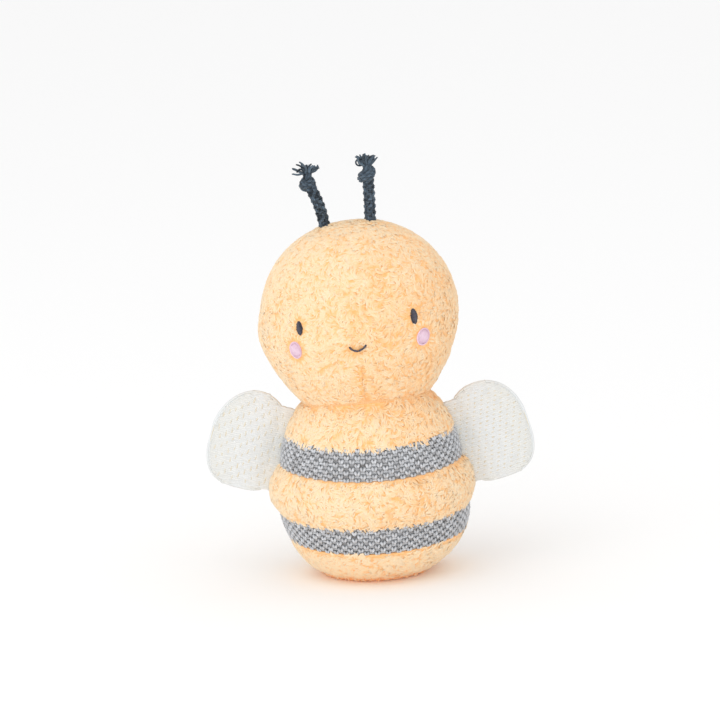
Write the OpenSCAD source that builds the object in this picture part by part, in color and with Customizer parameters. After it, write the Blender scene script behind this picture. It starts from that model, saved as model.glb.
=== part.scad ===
// Plush bee: a seamed fleece head and body, knitted stripes and wings, cord antennae.
// Millimetres. Z is up, the face looks along -Y, and the bee's own left is +X.
// The origin is the middle of the base disc, on the table.

/* [Body] */
// radius of the flat base disc
base_r = 28; // [20:0.5:36]
// thickness of the base disc
base_t = 3; // [2:0.5:5]
// rounding of the base disc's lower edge
base_round = 1.6; // [0.8:0.1:2]
// radius at the seam between the lower stripe and the belly
body_r = 47.4; // [42:0.5:54]
// how far the seam under the lower stripe is drawn in from that
draw1 = 3.4; // [0:0.2:8]
// how far the seam under the upper stripe is drawn in from that
draw3 = 2; // [0:0.2:6]
// how far the seam over the upper stripe is drawn in from that
draw4 = 5; // [2:0.2:9]
// how far the body stands out from the head's cloth at the neck crease
crease_step = 1.5; // [0.5:0.1:3]
// height of the lower fleece panel, with the base disc's edge
lower_h = 18; // [13:0.5:24]
// height of the lower knitted stripe
lower_stripe_h = 13.5; // [9:0.5:18]
// height of the belly panel
belly_h = 23.5; // [17:0.5:30]
// height of the upper knitted stripe
upper_stripe_h = 16.3; // [11:0.5:22]
// height of the shoulder panel
shoulder_h = 17.7; // [13:0.5:23]
// how far the lower panel swells past a straight line
lower_bulge = 1.6; // [1:0.2:5]
// how far the belly swells past a straight line
belly_bulge = 4.6; // [2:0.2:7]
// how far the shoulder swells past a straight line
shoulder_bulge = 4; // [2:0.2:6]
// how far a knitted stripe swells past a straight line
stripe_bulge = 0.8; // [0.2:0.2:2]
// how far fleece stands proud of knit at a seam
fleece_step = 0.9; // [0:0.1:2]
// thickness of the fleece, pile and backing
fleece_t = 4; // [3:0.5:6]
// thickness of the knitted cloth
knit_t = 2.2; // [1.5:0.1:3]

/* [Head] */
// largest radius of the head
head_r = 49.8; // [42:0.5:58]
// height of the head's widest level above the neck crease
head_up = 39.6; // [34:0.5:46]
// height the lower half would reach if it were closed
head_low = 56.3; // [52:0.5:62]
// roundness of the crown: 2 is round, more is squarer
crown_power = 2.15; // [1.8:0.05:2.6]
// roundness of the cheeks down to the neck: less than 2 is more conical
chin_power = 1.7; // [1.5:0.05:2]
// sideways lean of the head at rest, toward -X
lean_deg = 3.4; // [0:0.2:6]
// height of the neck's turning point above the crease
pivot_up = 27; // [24:0.5:30]
// largest swing of the neck away from rest, all directions together
swing_deg = 17; // [8:0.5:20]
// angle of head cloth tucked inside the neck
tuck_deg = 18; // [14:0.5:22]

/* [Face] */
// turn of the whole face toward -X
face_yaw_deg = 1.3; // [-3:0.1:3]
// sideways angle of each eye from straight ahead
eye_az = 34.5; // [28:0.5:42]
// height of the eyes above the head's widest level
eye_z = 5.5; // [2:0.5:10]
// width and height of an eye
eye_size = [4.2, 7.6];
// slant of an eye, its top toward the middle
eye_slant_deg = 8; // [0:1:15]
// sideways angle of each cheek from straight ahead
cheek_az = 39.3; // [34:0.5:46]
// height of the cheeks above the head's widest level
cheek_z = -5.4; // [-9:0.2:-1]
// diameter of a cheek patch
cheek_d = 9.2; // [7:0.2:12]
// thickness of embroidery over the cloth
stitch_t = 1; // [0.6:0.1:1.6]
// width of the smile
smile_w = 8.2; // [6:0.2:12]
// depth of the smile
smile_drop = 2.5; // [1.5:0.1:4]
// diameter of the smile's thread
smile_d = 1.2; // [0.8:0.1:2]
// height of the smile's lowest point from the head's widest level
smile_z = -6.8; // [-10:0.2:-3]

/* [Antennae] */
// diameter of the braided cord
cord_d = 6; // [4:0.2:8]
// distance of each antenna from the middle between them
antenna_x = 11.5; // [8:0.2:16]
// how far that middle is sewn off the head's middle, toward -X
antenna_off = 1.6; // [0:0.1:3]
// outward lean of the left antenna
left_lean_deg = 2.5; // [-5:0.5:20]
// outward lean of the right antenna
right_lean_deg = 16.5; // [-5:0.5:20]
// length from the root to the middle of the knot
knot_s = 21; // [16:0.5:28]
// width of the knot
knot_w = 9; // [7:0.2:12]
// height of the knot
knot_h = 7; // [5:0.2:9]
// length of cord left between the knot and the frayed ends
stub_h = 1.6; // [1:0.1:3]
// length of the frayed ends past the knot
fray_l = 8; // [5:0.5:12]
// diameter of one frayed end
fray_d = 0.9; // [0.6:0.1:1]
// number of frayed ends in the outer ring
fray_n = 9; // [6:1:10]
// spread of the outer frayed ends
fray_deg = 52; // [25:1:60]
// height of the turning point over the cloth
root_up = 0.8; // [0.4:0.1:1.2]

/* [Wings] */
// place of the wing's lower root on the belly, up from the belly's lower seam
wing_low_share = 0.62; // [0.5:0.01:0.75]
// place of the wing's upper root on the shoulder, up from its lower seam
wing_high_share = 0.6; // [0.45:0.01:0.7]
// distance of the wing's hinge line outside the cloth
wing_out = 1.3; // [1:0.1:2]
// reach of a wing from its hinge line
wing_reach = 33.4; // [26:0.2:40]
// distance from the hinge line to the wing's broadest place
wing_mid = 13.8; // [10:0.2:17]
// half of the wing's height at its broadest place
wing_half = 24.8; // [19:0.2:30]
// roundness of the wing's upper corner
wing_top_power = 2.2; // [1.8:0.1:3]
// roundness of the wing's lower corner
wing_low_power = 2.9; // [2:0.1:4]
// half thickness of a wing at its sewn edge
wing_edge = 1; // [0.7:0.1:1.5]
// swell of the wing's outside over its edge
wing_crown = 2.4; // [1.4:0.1:4]
// swell of the wadding inside
wadding_crown = 1.6; // [0.8:0.1:3]
// least half thickness of the wadding at its edge
wadding_edge = 0.06; // [0.04:0.01:0.1]
// radius of the rolled seam that the wing turns on
roll_r = 2; // [1.6:0.1:2.6]

/* [Inside] */
// radius of the bag of pellets
bag_r = 22; // [14:0.5:24]
// height of the bag of pellets
bag_h = 13; // [8:0.5:16]
// thickness of the neck's stuffing
pad_t = 3.3; // [2:0.1:3.5]
// radius of the neck seam's thread
thread_r = 0.6; // [0.4:0.1:0.8]

/* [Fits] */
// clearance between pieces that move against each other
run_gap = 0.4; // [0.3:0.05:0.6]
// clearance between cloth and what it holds
fill_gap = 0.2; // [0.1:0.05:0.4]

/* [Hidden] */
$fn = 64;

// angle of the neck crease on the head's outline, and the head's radius there
crease_phi = asin(pow(head_up / head_low, chin_power / 2));
neck_r = head_r * pow(cos(crease_phi), 2 / chin_power);
crease_r = neck_r + crease_step;

// heights of the seams
z1 = lower_h;
z2 = z1 + lower_stripe_h;
z3 = z2 + belly_h;
z4 = z3 + upper_stripe_h;
z5 = z4 + shoulder_h;

// radii of the seams
seam1_r = body_r - draw1;
seam2_r = body_r;
seam3_r = body_r - draw3;
seam4_r = body_r - draw4;

// seam points on the outside, fleece standing proud of knit
lower_a = [base_r, base_t];
lower_b = [seam1_r + fleece_step, z1];
belly_a = [seam2_r + fleece_step, z2];
belly_b = [seam3_r + fleece_step, z3];
shoulder_a = [seam4_r + fleece_step, z4];
shoulder_b = [crease_r, z5];

// a point on a swelling line from a to b
function swell(a, b, bulge, u) =
    a + u * (b - a)
    + 4 * u * (1 - u) * bulge * [b[1] - a[1], a[0] - b[0]] / norm(b - a);

// closed outline of a ring of cloth, with a flat edge at each seam
function ring(a, b, bulge, t) = concat(
    [for (i = [0:8]) swell(a, b, bulge, i / 8)],
    [[b[0] - t, b[1]], [a[0] - t, a[1]]]);

// head outline, from the crown to the neck crease, about its widest level
function head_line(grow) = concat(
    [for (i = [0:9]) let (p = 90 - 10 * i)
        [(head_r + grow) * pow(cos(p), 2 / crown_power),
         (head_r + grow) * pow(sin(p), 2 / crown_power)]],
    [for (i = [0:8]) let (p = crease_phi * i / 8)
        [(head_r + grow) * pow(cos(p), 2 / chin_power),
         -(head_low + grow) * pow(sin(p), 2 / chin_power)]]);

// head radius at a height over its widest level
function head_at(z) = z > 0
    ? head_r * pow(1 - pow(z / head_r, crown_power), 1 / crown_power)
    : head_r * pow(1 - pow(-z / head_low, chin_power), 1 / chin_power);

// height of the crown at a distance from the head's axis
function crown_at(x) =
    head_r * pow(1 - pow(x / head_r, crown_power), 1 / crown_power);

// the neck ball: every neck clearance is a sphere about the turning point
pivot_z = pivot_up - head_up;
ball_r = norm([neck_r, pivot_up]);
crease_deg = atan2(neck_r, pivot_up);
tuck_end = crease_deg - tuck_deg;
pad_deg = tuck_end - swing_deg;
function neck_arc(r, from, to, n) =
    [for (i = [0:n]) let (d = from + (to - from) * i / n)
        [r * sin(d), pivot_z - r * cos(d)]];

// room swept by the head's underside at full swing, about the turning point
swing = swing_deg + lean_deg;
swept = [for (q = head_line(run_gap)) if (q[1] < -1)
    let (v = q - [0, pivot_z], d = atan2(v[0], -v[1]) - swing)
    norm(v) * [sin(d), -cos(d)]];
room_r = ball_r + run_gap;
room_low = [for (i = [0:8]) let (d = (crease_deg - swing) * i / 8)
    room_r * [sin(d), -cos(d)]];
room_up = [for (i = [len(swept) - 1:-1:0]) swept[i]];
room_line = concat(room_low, room_up, [[0, room_up[len(room_up) - 1][1]]]);

// the turning point of the neck, with the head leaning about the crease
pivot = [-pivot_up * sin(lean_deg), 0, z5 + pivot_up * cos(lean_deg)];

// the neck seam lies in the shoulder's top edge
seam_r = crease_r + crease_step;
seam_sink = thread_r + 2 * run_gap;
seam_z = lookup(seam_r, [for (q = concat(room_low, room_up)) q]) - seam_sink;

// inside line of the body's cloth
inner = [[base_r - fleece_t, base_t],
    [lower_b[0] - fleece_t, z1], [seam2_r - fleece_t, z2],
    [seam3_r - fleece_t, z3], [shoulder_a[0] - fleece_t, z4],
    [crease_r - fleece_t, z5]];

// wing hinge line, on the side seam
root_low = swell(belly_a, belly_b, belly_bulge, wing_low_share);
root_high = swell(shoulder_a, shoulder_b, shoulder_bulge, wing_high_share);
root_dir = (root_high - root_low) / norm(root_high - root_low);
root_mid = (root_low + root_high) / 2 + wing_out * [root_dir[1], -root_dir[0]];
root_half = norm(root_high - root_low) / 2;
wing_turn = atan2(root_dir[0], root_dir[1]);
wing_root = roll_r + fill_gap;

// wing columns run from the root to the tip, rows from the lower to the upper edge
cols = 14;
rows = 8;
wing_a = wing_reach - wing_mid;
col_from = asin((wing_root - wing_mid) / wing_a);
col_to = 86.5;
function col_s(i) = wing_mid + wing_a * sin(col_from + (col_to - col_from) * i / cols);
function col_w(s, n) =
    wing_half * pow(1 - pow(abs(s - wing_mid) / wing_a, n), 1 / n);
function row_t(s, v) = v < 0 ? v * col_w(s, wing_low_power) : v * col_w(s, wing_top_power);
wing_c = (wing_root + wing_reach) / 2;
wing_l = (wing_reach - wing_root) / 2;
function wing_swell(s, v) =
    (1 - v * v) * pow(max(0, 1 - pow((s - wing_c) / wing_l, 2)), 0.7);

// closed sheet over a grid of columns and rows, from its far to its near surface
module sheet(near, far) {
    n = rows + 1;
    m = (cols + 1) * n;
    function at(i, j) = i * n + j;
    top = [for (i = [0:cols - 1], j = [0:rows - 1]) each [
        [at(i, j), at(i + 1, j), at(i + 1, j + 1)],
        [at(i, j), at(i + 1, j + 1), at(i, j + 1)]]];
    low = [for (f = top) [m + f[0], m + f[2], m + f[1]]];
    edge = concat(
        [for (i = [0:cols]) at(i, 0)],
        [for (j = [1:rows]) at(cols, j)],
        [for (i = [1:cols]) at(cols - i, rows)],
        [for (j = [1:rows - 1]) at(0, rows - j)]);
    wall = [for (k = [0:len(edge) - 1])
        let (p = edge[k], q = edge[(k + 1) % len(edge)]) each [
        [p, m + p, m + q], [p, m + q, q]]];
    polyhedron(concat(near, far), concat(top, low, wall));
}

// grid of wing points at a given half thickness
function wing_grid(side, edge, crown) = [for (i = [0:cols], j = [0:rows])
    let (s = col_s(i), v = 2 * j / rows - 1)
    [s, side * (edge + crown * wing_swell(s, v)), row_t(s, v)]];

// grid of wadding points, short of the sewn edge
wadding_fit = 0.85;
function wadding_grid(side) = [for (i = [0:cols], j = [0:rows])
    let (s = wing_c + wadding_fit * wing_l * (2 * i / cols - 1),
         v = wadding_fit * (2 * j / rows - 1))
    [s, side * max(wadding_edge, wadding_crown * wing_swell(s, v) - fill_gap / 2), row_t(s, v)]];

fleece = [0.98, 0.83, 0.58];
grey = [0.55, 0.57, 0.61];
ivory = [0.93, 0.93, 0.9];
navy = [0.22, 0.27, 0.33];
pink = [0.93, 0.82, 0.85];
white = [0.95, 0.95, 0.94];

// room for the head to swing, cut out of the body
module neck_room() {
    translate(pivot) rotate_extrude() polygon(room_line);
}

// groove for the neck seam's thread
module seam_groove() {
    translate([pivot[0], 0, pivot[2] + seam_z])
        rotate_extrude()
            translate([seam_r - thread_r - run_gap, -thread_r - run_gap])
                square([2 * (thread_r + run_gap), shoulder_h]);
}

// round channels in the side seams for the wings' rolled seams
module wing_channels() {
    for (side = [0, 1]) mirror([side, 0, 0])
        translate([root_mid[0], 0, root_mid[1]]) rotate([0, wing_turn, 0])
            cylinder(r = roll_r + run_gap, h = 2 * (root_half + roll_r), center = true);
}

// half of a ring of cloth, in front of the side seams or behind them
module half_ring(a, b, bulge, t, back) {
    rotate([0, 0, back ? 0 : 180])
        rotate_extrude(angle = 180) polygon(ring(a, b, bulge, t));
}

module base_disc() {
    color(fleece) rotate_extrude() polygon(concat([[0, 0]],
        [for (i = [0:4]) let (p = -90 + 22.5 * i)
            [base_r + base_round * (cos(p) - 1), base_round * (1 + sin(p))]],
        [[base_r, base_t], [0, base_t]]));
}

module lower_half(back) {
    color(fleece) half_ring(lower_a, lower_b, lower_bulge, fleece_t, back);
}

module lower_front() {
    lower_half(false);
}

module lower_back() {
    lower_half(true);
}

module lower_stripe_half(back) {
    color(grey) half_ring([seam1_r, z1], [seam2_r, z2], stripe_bulge, knit_t, back);
}

module lower_stripe_front() {
    lower_stripe_half(false);
}

module lower_stripe_back() {
    lower_stripe_half(true);
}

module belly_half(back) {
    color(fleece) difference() {
        half_ring(belly_a, belly_b, belly_bulge, fleece_t, back);
        wing_channels();
    }
}

module belly_front() {
    belly_half(false);
}

module belly_back() {
    belly_half(true);
}

module upper_stripe_half(back) {
    color(grey) difference() {
        half_ring([seam3_r, z3], [seam4_r, z4], stripe_bulge, knit_t, back);
        wing_channels();
    }
}

module upper_stripe_front() {
    upper_stripe_half(false);
}

module upper_stripe_back() {
    upper_stripe_half(true);
}

module shoulder_half(back) {
    color(fleece) difference() {
        half_ring(shoulder_a, shoulder_b, shoulder_bulge, fleece_t, back);
        wing_channels();
        neck_room();
        seam_groove();
    }
}

module shoulder_front() {
    shoulder_half(false);
}

module shoulder_back() {
    shoulder_half(true);
}

// outline of the pellet bag, a low pillow on the base disc
function bag_line(grow) = concat([[0, base_t + fill_gap - grow]],
    [for (i = [0:8]) let (p = -90 + 22.5 * i)
        [bag_r + grow - bag_h / 2 + bag_h / 2 * cos(p),
         base_t + fill_gap + bag_h / 2 + (bag_h / 2 + grow) * sin(p)]],
    [[0, base_t + fill_gap + bag_h + grow]]);

module pellet_bag() {
    color(white) rotate_extrude() polygon(bag_line(0));
}

module body_stuffing() {
    color(white) difference() {
        rotate_extrude() polygon(concat([[0, base_t + fill_gap]],
            [for (q = inner) [q[0] - fill_gap, q[1] + (q[1] == base_t ? fill_gap : 0)]],
            [[0, z5]]));
        rotate_extrude() polygon(bag_line(fill_gap));
        neck_room();
        seam_groove();
    }
}

module neck_seam() {
    color(fleece) translate([pivot[0], 0, pivot[2] + seam_z])
        rotate_extrude() translate([seam_r, 0]) circle(r = thread_r, $fn = 24);
}

// a bowl of stuffing between the head's tucked underside and the body
module neck_stuffing() {
    color(white) translate(pivot) intersection() {
        difference() {
            sphere(r = ball_r);
            sphere(r = ball_r - pad_t);
        }
        translate([0, 0, -ball_r])
            cylinder(r1 = ball_r * tan(pad_deg), r2 = 0, h = ball_r);
    }
}

// places what belongs to the head: the head leans about the middle of the crease
module on_head() {
    translate([0, 0, z5]) rotate([0, -lean_deg, 0]) translate([0, 0, head_up])
        children();
}

module head_panel(from) {
    n = fleece_t;
    color(fleece) on_head() difference() {
        rotate([0, 0, from]) rotate_extrude(angle = 90) polygon(concat(
            head_line(0),
            neck_arc(ball_r, crease_deg, tuck_end, 4),
            neck_arc(ball_r - n, tuck_end, crease_deg, 4),
            [for (i = [len(head_line(-n)) - 2:-1:0]) head_line(-n)[i]]));
        antenna_sockets();
    }
}

module head_front_left() {
    head_panel(270);
}

module head_front_right() {
    head_panel(180);
}

module head_back_left() {
    head_panel(0);
}

module head_back_right() {
    head_panel(90);
}

module head_stuffing() {
    n = fleece_t + fill_gap;
    color(white) on_head() rotate_extrude() polygon(concat(
        [for (i = [0:len(head_line(-n)) - 2]) head_line(-n)[i]],
        neck_arc(ball_r - n, crease_deg, 0, 12)));
}

// a patch of embroidery lying on the head, seen from straight out
module patch(az, z, outline) {
    on_head() intersection() {
        difference() {
            rotate_extrude() polygon(head_line(fill_gap / 2 + stitch_t));
            rotate_extrude() polygon(head_line(fill_gap / 2));
        }
        rotate([0, 0, az - face_yaw_deg]) translate([0, 0, z]) rotate([90, 0, 0])
            linear_extrude(height = 2 * head_r) polygon(outline);
    }
}

function oval(w, h, slant) = [for (i = [0:31]) let (p = 11.25 * i)
    [w / 2 * cos(p) * cos(slant) - h / 2 * sin(p) * sin(slant),
     w / 2 * cos(p) * sin(slant) + h / 2 * sin(p) * cos(slant)]];

module left_eye() {
    color(navy) patch(eye_az, eye_z, oval(eye_size[0], eye_size[1], eye_slant_deg));
}

module right_eye() {
    color(navy) patch(-eye_az, eye_z, oval(eye_size[0], eye_size[1], -eye_slant_deg));
}

module left_cheek() {
    color(pink) patch(cheek_az, cheek_z, oval(cheek_d, cheek_d, 0));
}

module right_cheek() {
    color(pink) patch(-cheek_az, cheek_z, oval(cheek_d, cheek_d, 0));
}

module smile() {
    r = (smile_w * smile_w / 4 + smile_drop * smile_drop) / (2 * smile_drop);
    half = asin(smile_w / 2 / r);
    out = head_at(smile_z + smile_drop) + fill_gap / 2 + smile_d / 2;
    color(navy) on_head() rotate([0, 0, -face_yaw_deg])
        translate([0, -out, smile_z + r]) rotate([90, 0, 0])
        rotate([0, 0, 270 - half]) rotate_extrude(angle = 2 * half)
            translate([r, 0]) circle(d = smile_d, $fn = 24);
}

// turning point of an antenna, just over the crown
function root_at(side) = let (x = side * antenna_x - antenna_off)
    [x, 0, crown_at(abs(x)) + root_up];

// places an antenna: its foot is a ball sunk in the top seam
module on_root(side, lean) {
    on_head() translate(root_at(side)) rotate([0, side * lean, 0]) children();
}

// the ball foot, the level where the cord starts over it, and the thinner end past the knot
foot_r = cord_d / 2;
cord_from = 0.66 * foot_r;
stub_d = 0.85 * cord_d;
// fullness of the knot: less is squarer
knot_power = 0.7;
inner_fray_n = 5;

// hollows for the feet, each turned so that its ball's own edge lies off the panel seams
module antenna_sockets() {
    for (side = [-1, 1])
        translate(root_at(side)) rotate([0, 0, 45]) sphere(r = foot_r + run_gap);
}

module antenna_foot() {
    sphere(r = foot_r);
}

// the cord, its knot and its frayed ends; its lower end is hollowed over the foot
module antenna_cord() {
    difference() {
        translate([0, 0, cord_from]) cylinder(d = cord_d, h = knot_s - cord_from);
        sphere(r = foot_r + run_gap);
    }
    translate([0, 0, knot_s]) rotate_extrude() polygon(concat(
        [for (i = [0:8]) let (p = -90 + 22.5 * i)
            [knot_w / 2 * pow(cos(p), knot_power), knot_h / 2 * sin(p)]]));
    translate([0, 0, knot_s]) cylinder(d = stub_d, h = knot_h / 2 + stub_h);
    translate([0, 0, knot_s + knot_h / 2 + stub_h / 2]) {
        fray_ring(fray_n, stub_d / 2 - fray_d * 0.6, fray_deg);
        fray_ring(inner_fray_n, stub_d / 4 - fray_d * 0.1, fray_deg / 2);
        cylinder(d = fray_d, h = fray_l, $fn = 6);
    }
}

// a ring of frayed ends, each a little longer or shorter than the next
module fray_ring(n, r, spread) {
    for (i = [0:n - 1])
        rotate([0, 0, 360 * i / n]) translate([r, 0, 0])
            rotate([0, spread * (0.8 + 0.2 * cos(150 * i)), 0])
                cylinder(d = fray_d, h = fray_l * (0.85 + 0.15 * sin(100 * i)), $fn = 6);
}

module left_antenna_root() {
    color(navy) on_root(1, left_lean_deg) antenna_foot();
}

module left_antenna() {
    color(navy) on_root(1, left_lean_deg) antenna_cord();
}

module right_antenna_root() {
    color(navy) on_root(-1, right_lean_deg) antenna_foot();
}

module right_antenna() {
    color(navy) on_root(-1, right_lean_deg) antenna_cord();
}

// places a wing: its local X runs outward from the hinge line, its Z along it
module on_wing(side) {
    mirror([side < 0 ? 1 : 0, 0, 0])
        translate([root_mid[0], 0, root_mid[1]]) rotate([0, wing_turn, 0])
            children();
}

module wing_front() {
    sheet(wing_grid(-1, wing_edge, wing_crown), wing_grid(-1, 0, wadding_crown));
}

module wing_back() {
    sheet(wing_grid(1, 0, wadding_crown), wing_grid(1, wing_edge, wing_crown));
}

module wing_wadding() {
    sheet(wadding_grid(-1), wadding_grid(1));
}

// the rolled seam on the hinge line
module wing_roll() {
    cylinder(r = roll_r, h = 2 * root_half, center = true);
}

module left_wing_front() {
    color(ivory) on_wing(1) wing_front();
}

module left_wing_back() {
    color(ivory) on_wing(1) wing_back();
}

module left_wing_wadding() {
    color(white) on_wing(1) wing_wadding();
}

module left_wing_roll() {
    color(ivory) on_wing(1) wing_roll();
}

module right_wing_front() {
    color(ivory) on_wing(-1) wing_front();
}

module right_wing_back() {
    color(ivory) on_wing(-1) wing_back();
}

module right_wing_wadding() {
    color(white) on_wing(-1) wing_wadding();
}

module right_wing_roll() {
    color(ivory) on_wing(-1) wing_roll();
}

base_disc();
lower_front();
lower_back();
lower_stripe_front();
lower_stripe_back();
belly_front();
belly_back();
upper_stripe_front();
upper_stripe_back();
shoulder_front();
shoulder_back();
body_stuffing();
pellet_bag();
neck_seam();
neck_stuffing();
head_front_left();
head_front_right();
head_back_left();
head_back_right();
head_stuffing();
left_eye();
right_eye();
left_cheek();
right_cheek();
smile();
left_antenna_root();
left_antenna();
right_antenna_root();
right_antenna();
left_wing_front();
left_wing_back();
left_wing_wadding();
left_wing_roll();
right_wing_front();
right_wing_back();
right_wing_wadding();
right_wing_roll();
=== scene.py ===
"""A sitting plush bee, dressed over its solids: curly fleece, raised knit, braided cord, embroidery."""

import math
from types import SimpleNamespace

import bpy
import numpy as np
from mathutils import Matrix, Vector
from mathutils.kdtree import KDTree


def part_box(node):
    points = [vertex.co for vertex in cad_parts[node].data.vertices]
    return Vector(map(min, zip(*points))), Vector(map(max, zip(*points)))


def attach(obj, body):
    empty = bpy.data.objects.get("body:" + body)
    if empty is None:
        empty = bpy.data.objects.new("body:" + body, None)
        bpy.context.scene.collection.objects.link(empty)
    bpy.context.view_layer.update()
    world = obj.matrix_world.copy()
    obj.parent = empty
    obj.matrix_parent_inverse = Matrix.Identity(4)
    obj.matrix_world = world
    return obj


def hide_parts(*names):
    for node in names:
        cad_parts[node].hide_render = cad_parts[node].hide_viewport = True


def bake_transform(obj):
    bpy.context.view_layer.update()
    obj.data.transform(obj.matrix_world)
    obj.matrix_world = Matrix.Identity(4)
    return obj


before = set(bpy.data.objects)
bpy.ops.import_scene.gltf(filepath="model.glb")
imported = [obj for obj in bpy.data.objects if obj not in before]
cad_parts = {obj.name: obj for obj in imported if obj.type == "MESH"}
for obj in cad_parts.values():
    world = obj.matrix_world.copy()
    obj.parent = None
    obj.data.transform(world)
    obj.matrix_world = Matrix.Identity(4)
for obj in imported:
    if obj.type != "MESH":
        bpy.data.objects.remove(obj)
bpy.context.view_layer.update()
rng = np.random.default_rng(11)

# Sizes of the solids, in millimetres and degrees
MM = 0.001
BASE_R = 28.0
LOWER_START = 1.4
SEAM_R = (44.0, 47.4, 45.4, 41.6)
FLEECE_STEP = 0.9
STRIPE_BULGE = 0.8
LOWER_BULGE = 2.2
BELLY_BULGE = 4.6
SHOULDER_BULGE = 1.2
SHOULDER_H = 17.7
CREASE_STEP = 1.5
HEAD_R = 49.8
HEAD_UP = 39.6
HEAD_LOW = 56.3
CROWN_POWER = 2.15
CHIN_POWER = 1.7
HEAD_LEAN = 3.4
PIVOT_UP = 27.0
TUCK_DEG = 18.0
FACE_YAW = 1.3
WING_REACH, WING_MID, WING_HALF = 33.4, 13.8, 24.8
WING_TOP_POWER, WING_LOW_POWER = {"left": 2.2, "right": 1.95}, 2.9
WING_ROOT, WING_EDGE, WING_CROWN = 2.2, 1.0, 2.4
WING_IN = -5.0
HINGE_TURN = -16.6239
KNOT_S = 22.2

# Face: angle round the head, height, width, height of the patch and slant
EYES = {"left": (34.5, 6.1, 3.65, 8.1, -5.0), "right": (-35.6, 5.6, 3.4, 7.2, 3.0)}
CHEEKS = {"left": (40.8, -5.0, 8.2, 8.9), "right": (-39.2, -5.5, 7.3, 8.9)}
SMILE_AZ, SMILE_W, SMILE_DROP, SMILE_Z = -0.2, 8.2, 2.7, -6.9
SMILE_STITCHES = ((-4.1, 2.4), (-2.5, 0.8), (0.1, 0.0), (2.8, 1.3), (4.1, 2.8))

# Unevenness of this one toy, in millimetres
CHIN_RISE, CHIN_OUT = 3.5, 2.8
DRAPE, DRAPE_TILT = 2.4, 0.015
LOW_SHIFT, LOW_SHIFT_OVER = 1.8, 6.0
SWAY, SWAY_TOP, SWAY_RUN = 1.1, 12.0, 24.0
CHEEK_OUT, CHEEK_LOW, CHEEK_RUN = 1.3, 4.0, 13.0

FRONT, BACK = 180.0, 0.0
UP = np.array([0, 0, 1.0])


# Lines, turns and surfaces of revolution

def unit(v):
    """Vectors made one long."""
    return v / (np.linalg.norm(v, axis=-1, keepdims=True) + 1e-9)


def turned(x, y, angle):
    """Two coordinates turned by an angle."""
    return x * math.cos(angle) - y * math.sin(angle), x * math.sin(angle) + y * math.cos(angle)


def polar(radius, turn, z):
    """Points at a radius, an angle and a height."""
    return np.stack(np.broadcast_arrays(radius * np.cos(turn), radius * np.sin(turn), z), -1)


def fade(value, run):
    """A share that grows from 0 to 1 over a run."""
    return np.clip(value / run, 0, 1)


def run_along(line):
    """The distance gone at each point of a line."""
    return np.concatenate([[0], np.cumsum(np.linalg.norm(np.diff(line, axis=0), axis=1))])


def middle_of(node):
    """The middle of a node's box in the frame, in millimetres."""
    return sum(np.array(corner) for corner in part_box(node)) / 2 / MM


def swell(a, b, bulge, count=24):
    """A line of (radius, height) points from a up to b, swelling outward."""
    a = np.array(a)
    b = np.array(b)
    u = np.linspace(0, 1, count)[:, None]
    out = np.array([b[1] - a[1], a[0] - b[0]]) / np.linalg.norm(b - a)
    return a + u * (b - a) + 4 * u * (1 - u) * bulge * out


def resample(line, step=1.0, count=None):
    """The same line in even steps, of a length or of a count."""
    run = run_along(line)
    at = np.linspace(0, run[-1], count or max(3, int(run[-1] / step)))
    return np.stack([np.interp(at, run, column) for column in line.T], 1)


def outward(line):
    """Outward normals of a line that runs upward."""
    run = np.gradient(line, axis=0)
    return unit(np.stack([run[:, 1], -run[:, 0]], 1))


def sink(line, depth):
    """The line moved inward, and not past the axis."""
    moved = line - depth * outward(line)
    moved[:, 0] = np.maximum(moved[:, 0], 0.02)
    return moved


def revolve(line, start, sweep, count):
    """A grid of points, rows along the line and columns round the axis."""
    return polar(line[:, 0:1], np.radians(start + sweep * np.linspace(0, 1, count)), line[:, 1:2])


# Forms of the toy

SEAM_Z = [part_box(node)[1][2] / MM
          for node in ("lower_front", "lower_stripe_front", "belly_front", "upper_stripe_front")]
CREASE_Z = SEAM_Z[3] + SHOULDER_H
CREASE_PHI = math.asin((HEAD_UP / HEAD_LOW) ** (CHIN_POWER / 2))
NECK_R = HEAD_R * math.cos(CREASE_PHI) ** (2 / CHIN_POWER)
BALL_R = math.hypot(NECK_R, PIVOT_UP)
CREASE_DEG = math.degrees(math.atan2(NECK_R, PIVOT_UP))


def head_radius(z):
    """Radius of the head at a height over its widest level."""
    crown = (1 - fade(np.maximum(z, 0), HEAD_R) ** CROWN_POWER) ** (1 / CROWN_POWER)
    chin = (1 - fade(np.maximum(-z, 0), HEAD_LOW) ** CHIN_POWER) ** (1 / CHIN_POWER)
    return HEAD_R * np.where(z > 0, crown, chin)


def head_line():
    """The head's outline from the cloth tucked in the neck up to the crown."""
    tuck = np.radians(np.linspace(CREASE_DEG - TUCK_DEG, CREASE_DEG, 12)[:-1])
    low = np.linspace(CREASE_PHI, 0, 40)[:-1]
    high = np.linspace(0, math.pi / 2, 60)
    r = [BALL_R * np.sin(tuck), HEAD_R * np.cos(low) ** (2 / CHIN_POWER),
         HEAD_R * np.maximum(np.cos(high), 0) ** (2 / CROWN_POWER)]
    z = [PIVOT_UP - HEAD_UP - BALL_R * np.cos(tuck), -HEAD_LOW * np.sin(low) ** (2 / CHIN_POWER),
         HEAD_R * np.sin(high) ** (2 / CROWN_POWER)]
    return resample(np.stack([np.concatenate(r), np.concatenate(z)], 1))


def sway(x, z):
    """How far the cloth is pushed to the bee's right: more at that cheek, and not at the crown."""
    share = fade(SWAY_TOP - z, SWAY_RUN)
    cheek = fade(-x, HEAD_R) ** 4 * np.exp(-((z + CHEEK_LOW) / CHEEK_RUN) ** 2)
    return -SWAY * share ** 2 * (3 - 2 * share) - CHEEK_OUT * cheek


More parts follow.
